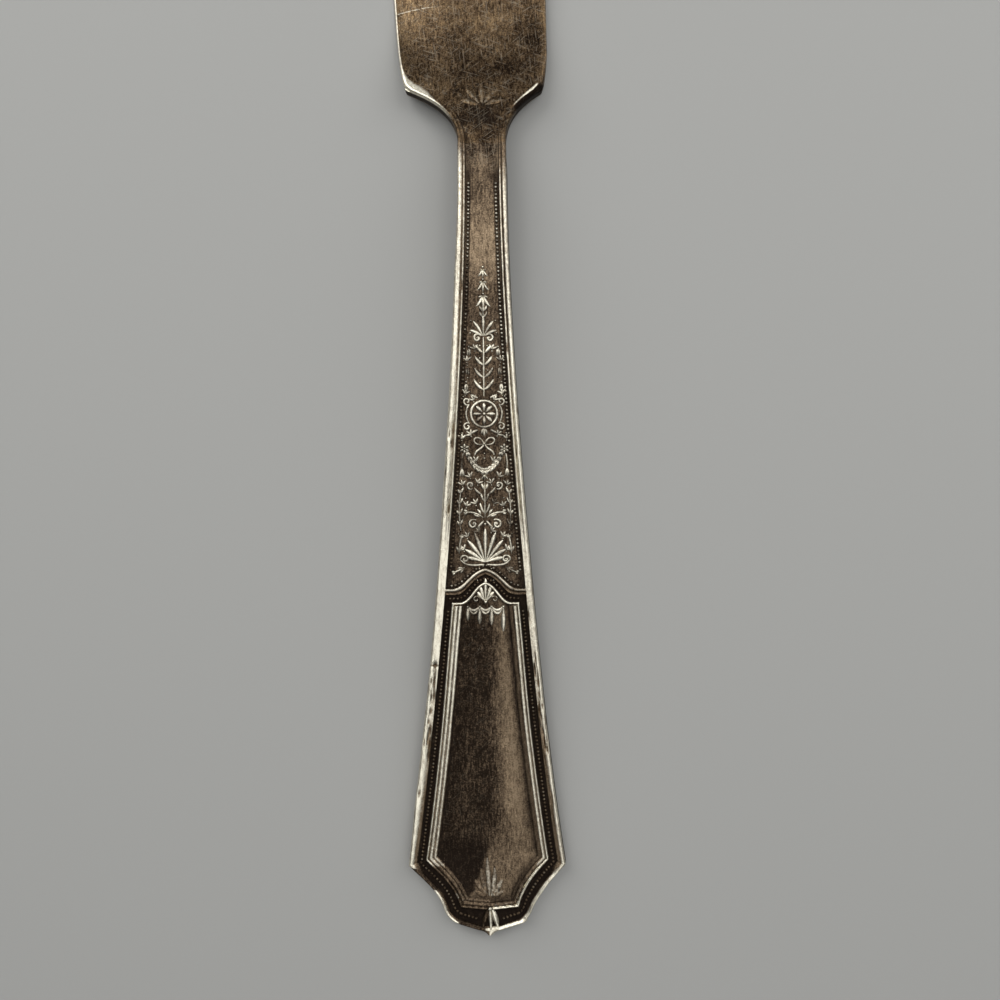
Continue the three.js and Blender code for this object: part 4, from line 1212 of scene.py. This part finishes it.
LEAF_ROOT = -2.7
LEAF_RING = 0.55
blade_leaf = new_casting()
for angle, length in ((0.0, 2.5), (0.55, 2.7), (-0.55, 2.7), (1.05, 2.2), (-1.05, 2.2)):
    start = (LEAF_RING * math.sin(angle), LEAF_ROOT + LEAF_RING * math.cos(angle))
    strand(blade_leaf, leaf(start, angle, length, 0.35 * angle), 0.46, 0.11, 0.34, taper=0.5, fullest=1.5)
leaf_piece = pour("blade_leaf", blade_leaf, blade_level, pale=0.46, soot_and_shade=0.15)
leaf_piece.data.materials.append(blade_finish)
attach(leaf_piece, "root")

# Floor
# A plain table top under the knife, painted a matt pale grey. It is one flat sheet with no marks on it,
# and belongs to the stage.
FLOOR_HALF = 1.5
FLOOR_GREY = (0.385, 0.385, 0.37, 1.0)
FLOOR_ROUGHNESS = 0.8
floor_mesh = bpy.data.meshes.new("table_top")
floor_corners = [(-FLOOR_HALF, -FLOOR_HALF, 0.0), (FLOOR_HALF, -FLOOR_HALF, 0.0)]
floor_corners += [(FLOOR_HALF, FLOOR_HALF, 0.0), (-FLOOR_HALF, FLOOR_HALF, 0.0)]
floor_mesh.from_pydata(floor_corners, [], [(0, 1, 2, 3)])
floor = bpy.data.objects.new("table_top", floor_mesh)
bpy.context.scene.collection.objects.link(floor)
floor_finish = bpy.data.materials.new("table_paint")
floor_finish.use_nodes = True
floor_shader = floor_finish.node_tree.nodes["Principled BSDF"]
floor_shader.inputs["Base Color"].default_value = FLOOR_GREY
floor_shader.inputs["Roughness"].default_value = FLOOR_ROUGHNESS
floor_mesh.materials.append(floor_finish)

# Studio light and camera
# A wide soft light overhead, one from each side and an even dim room. The camera looks straight down on
# the knife from above, as the photograph does.


def softbox(name, place, aim, size, strength):
    """An evenly lit rectangle that faces the aim. Its strength holds for each part of its area."""
    light = bpy.data.lights.new(name, "AREA")
    light.shape = "RECTANGLE"
    light.size, light.size_y = size
    light.energy = strength * math.pi * size[0] * size[1]
    lamp = bpy.data.objects.new(name, light)
    lamp.location = place
    away = np.array(place) - np.array(aim)
    tilt = math.atan2(math.hypot(away[0], away[1]), away[2])
    lamp.rotation_euler = (tilt, 0.0, math.atan2(away[0], -away[1]))
    lamp.visible_camera = False
    bpy.context.scene.collection.objects.link(lamp)


AIM = (0.003, -0.035, 0.003)
softbox("overhead_light", (0.003, -0.045, 0.70), AIM, size=(0.62, 1.3), strength=1.06)
softbox("left_light", (-0.26, 0.24, 0.30), AIM, size=(0.30, 0.50), strength=2.8)
softbox("right_light", (0.30, 0.14, 0.30), AIM, size=(0.30, 0.50), strength=2.1)
ROOM_GREY = (0.06, 0.06, 0.06, 1.0)
world = bpy.data.worlds.new("room")
bpy.context.scene.world = world
world.use_nodes = True
room = world.node_tree.nodes["Background"]
room.inputs["Color"].default_value = ROOM_GREY
room.inputs["Strength"].default_value = 1.0

CAMERA_HEIGHT = 140.0
FRAME_SIZE = 125.0
KNIFE_HEIGHT = 3.0
SENSOR = 36.0
ASIDE = 1.87
ALONG = -51.45
CAMERA_TURN = -0.0086
camera_data = bpy.data.cameras.new("camera")
camera_data.sensor_width = SENSOR
camera_data.lens = SENSOR * CAMERA_HEIGHT / FRAME_SIZE
camera = bpy.data.objects.new("camera", camera_data)
camera.location = ((AXIS + ASIDE) * MM, (SHOULDER_LINE + ALONG) * MM, (KNIFE_HEIGHT + CAMERA_HEIGHT) * MM)
camera.rotation_euler = (0.0, 0.0, CAMERA_TURN)
bpy.context.scene.collection.objects.link(camera)
bpy.context.scene.camera = camera
bpy.context.scene.view_settings.view_transform = "Standard"
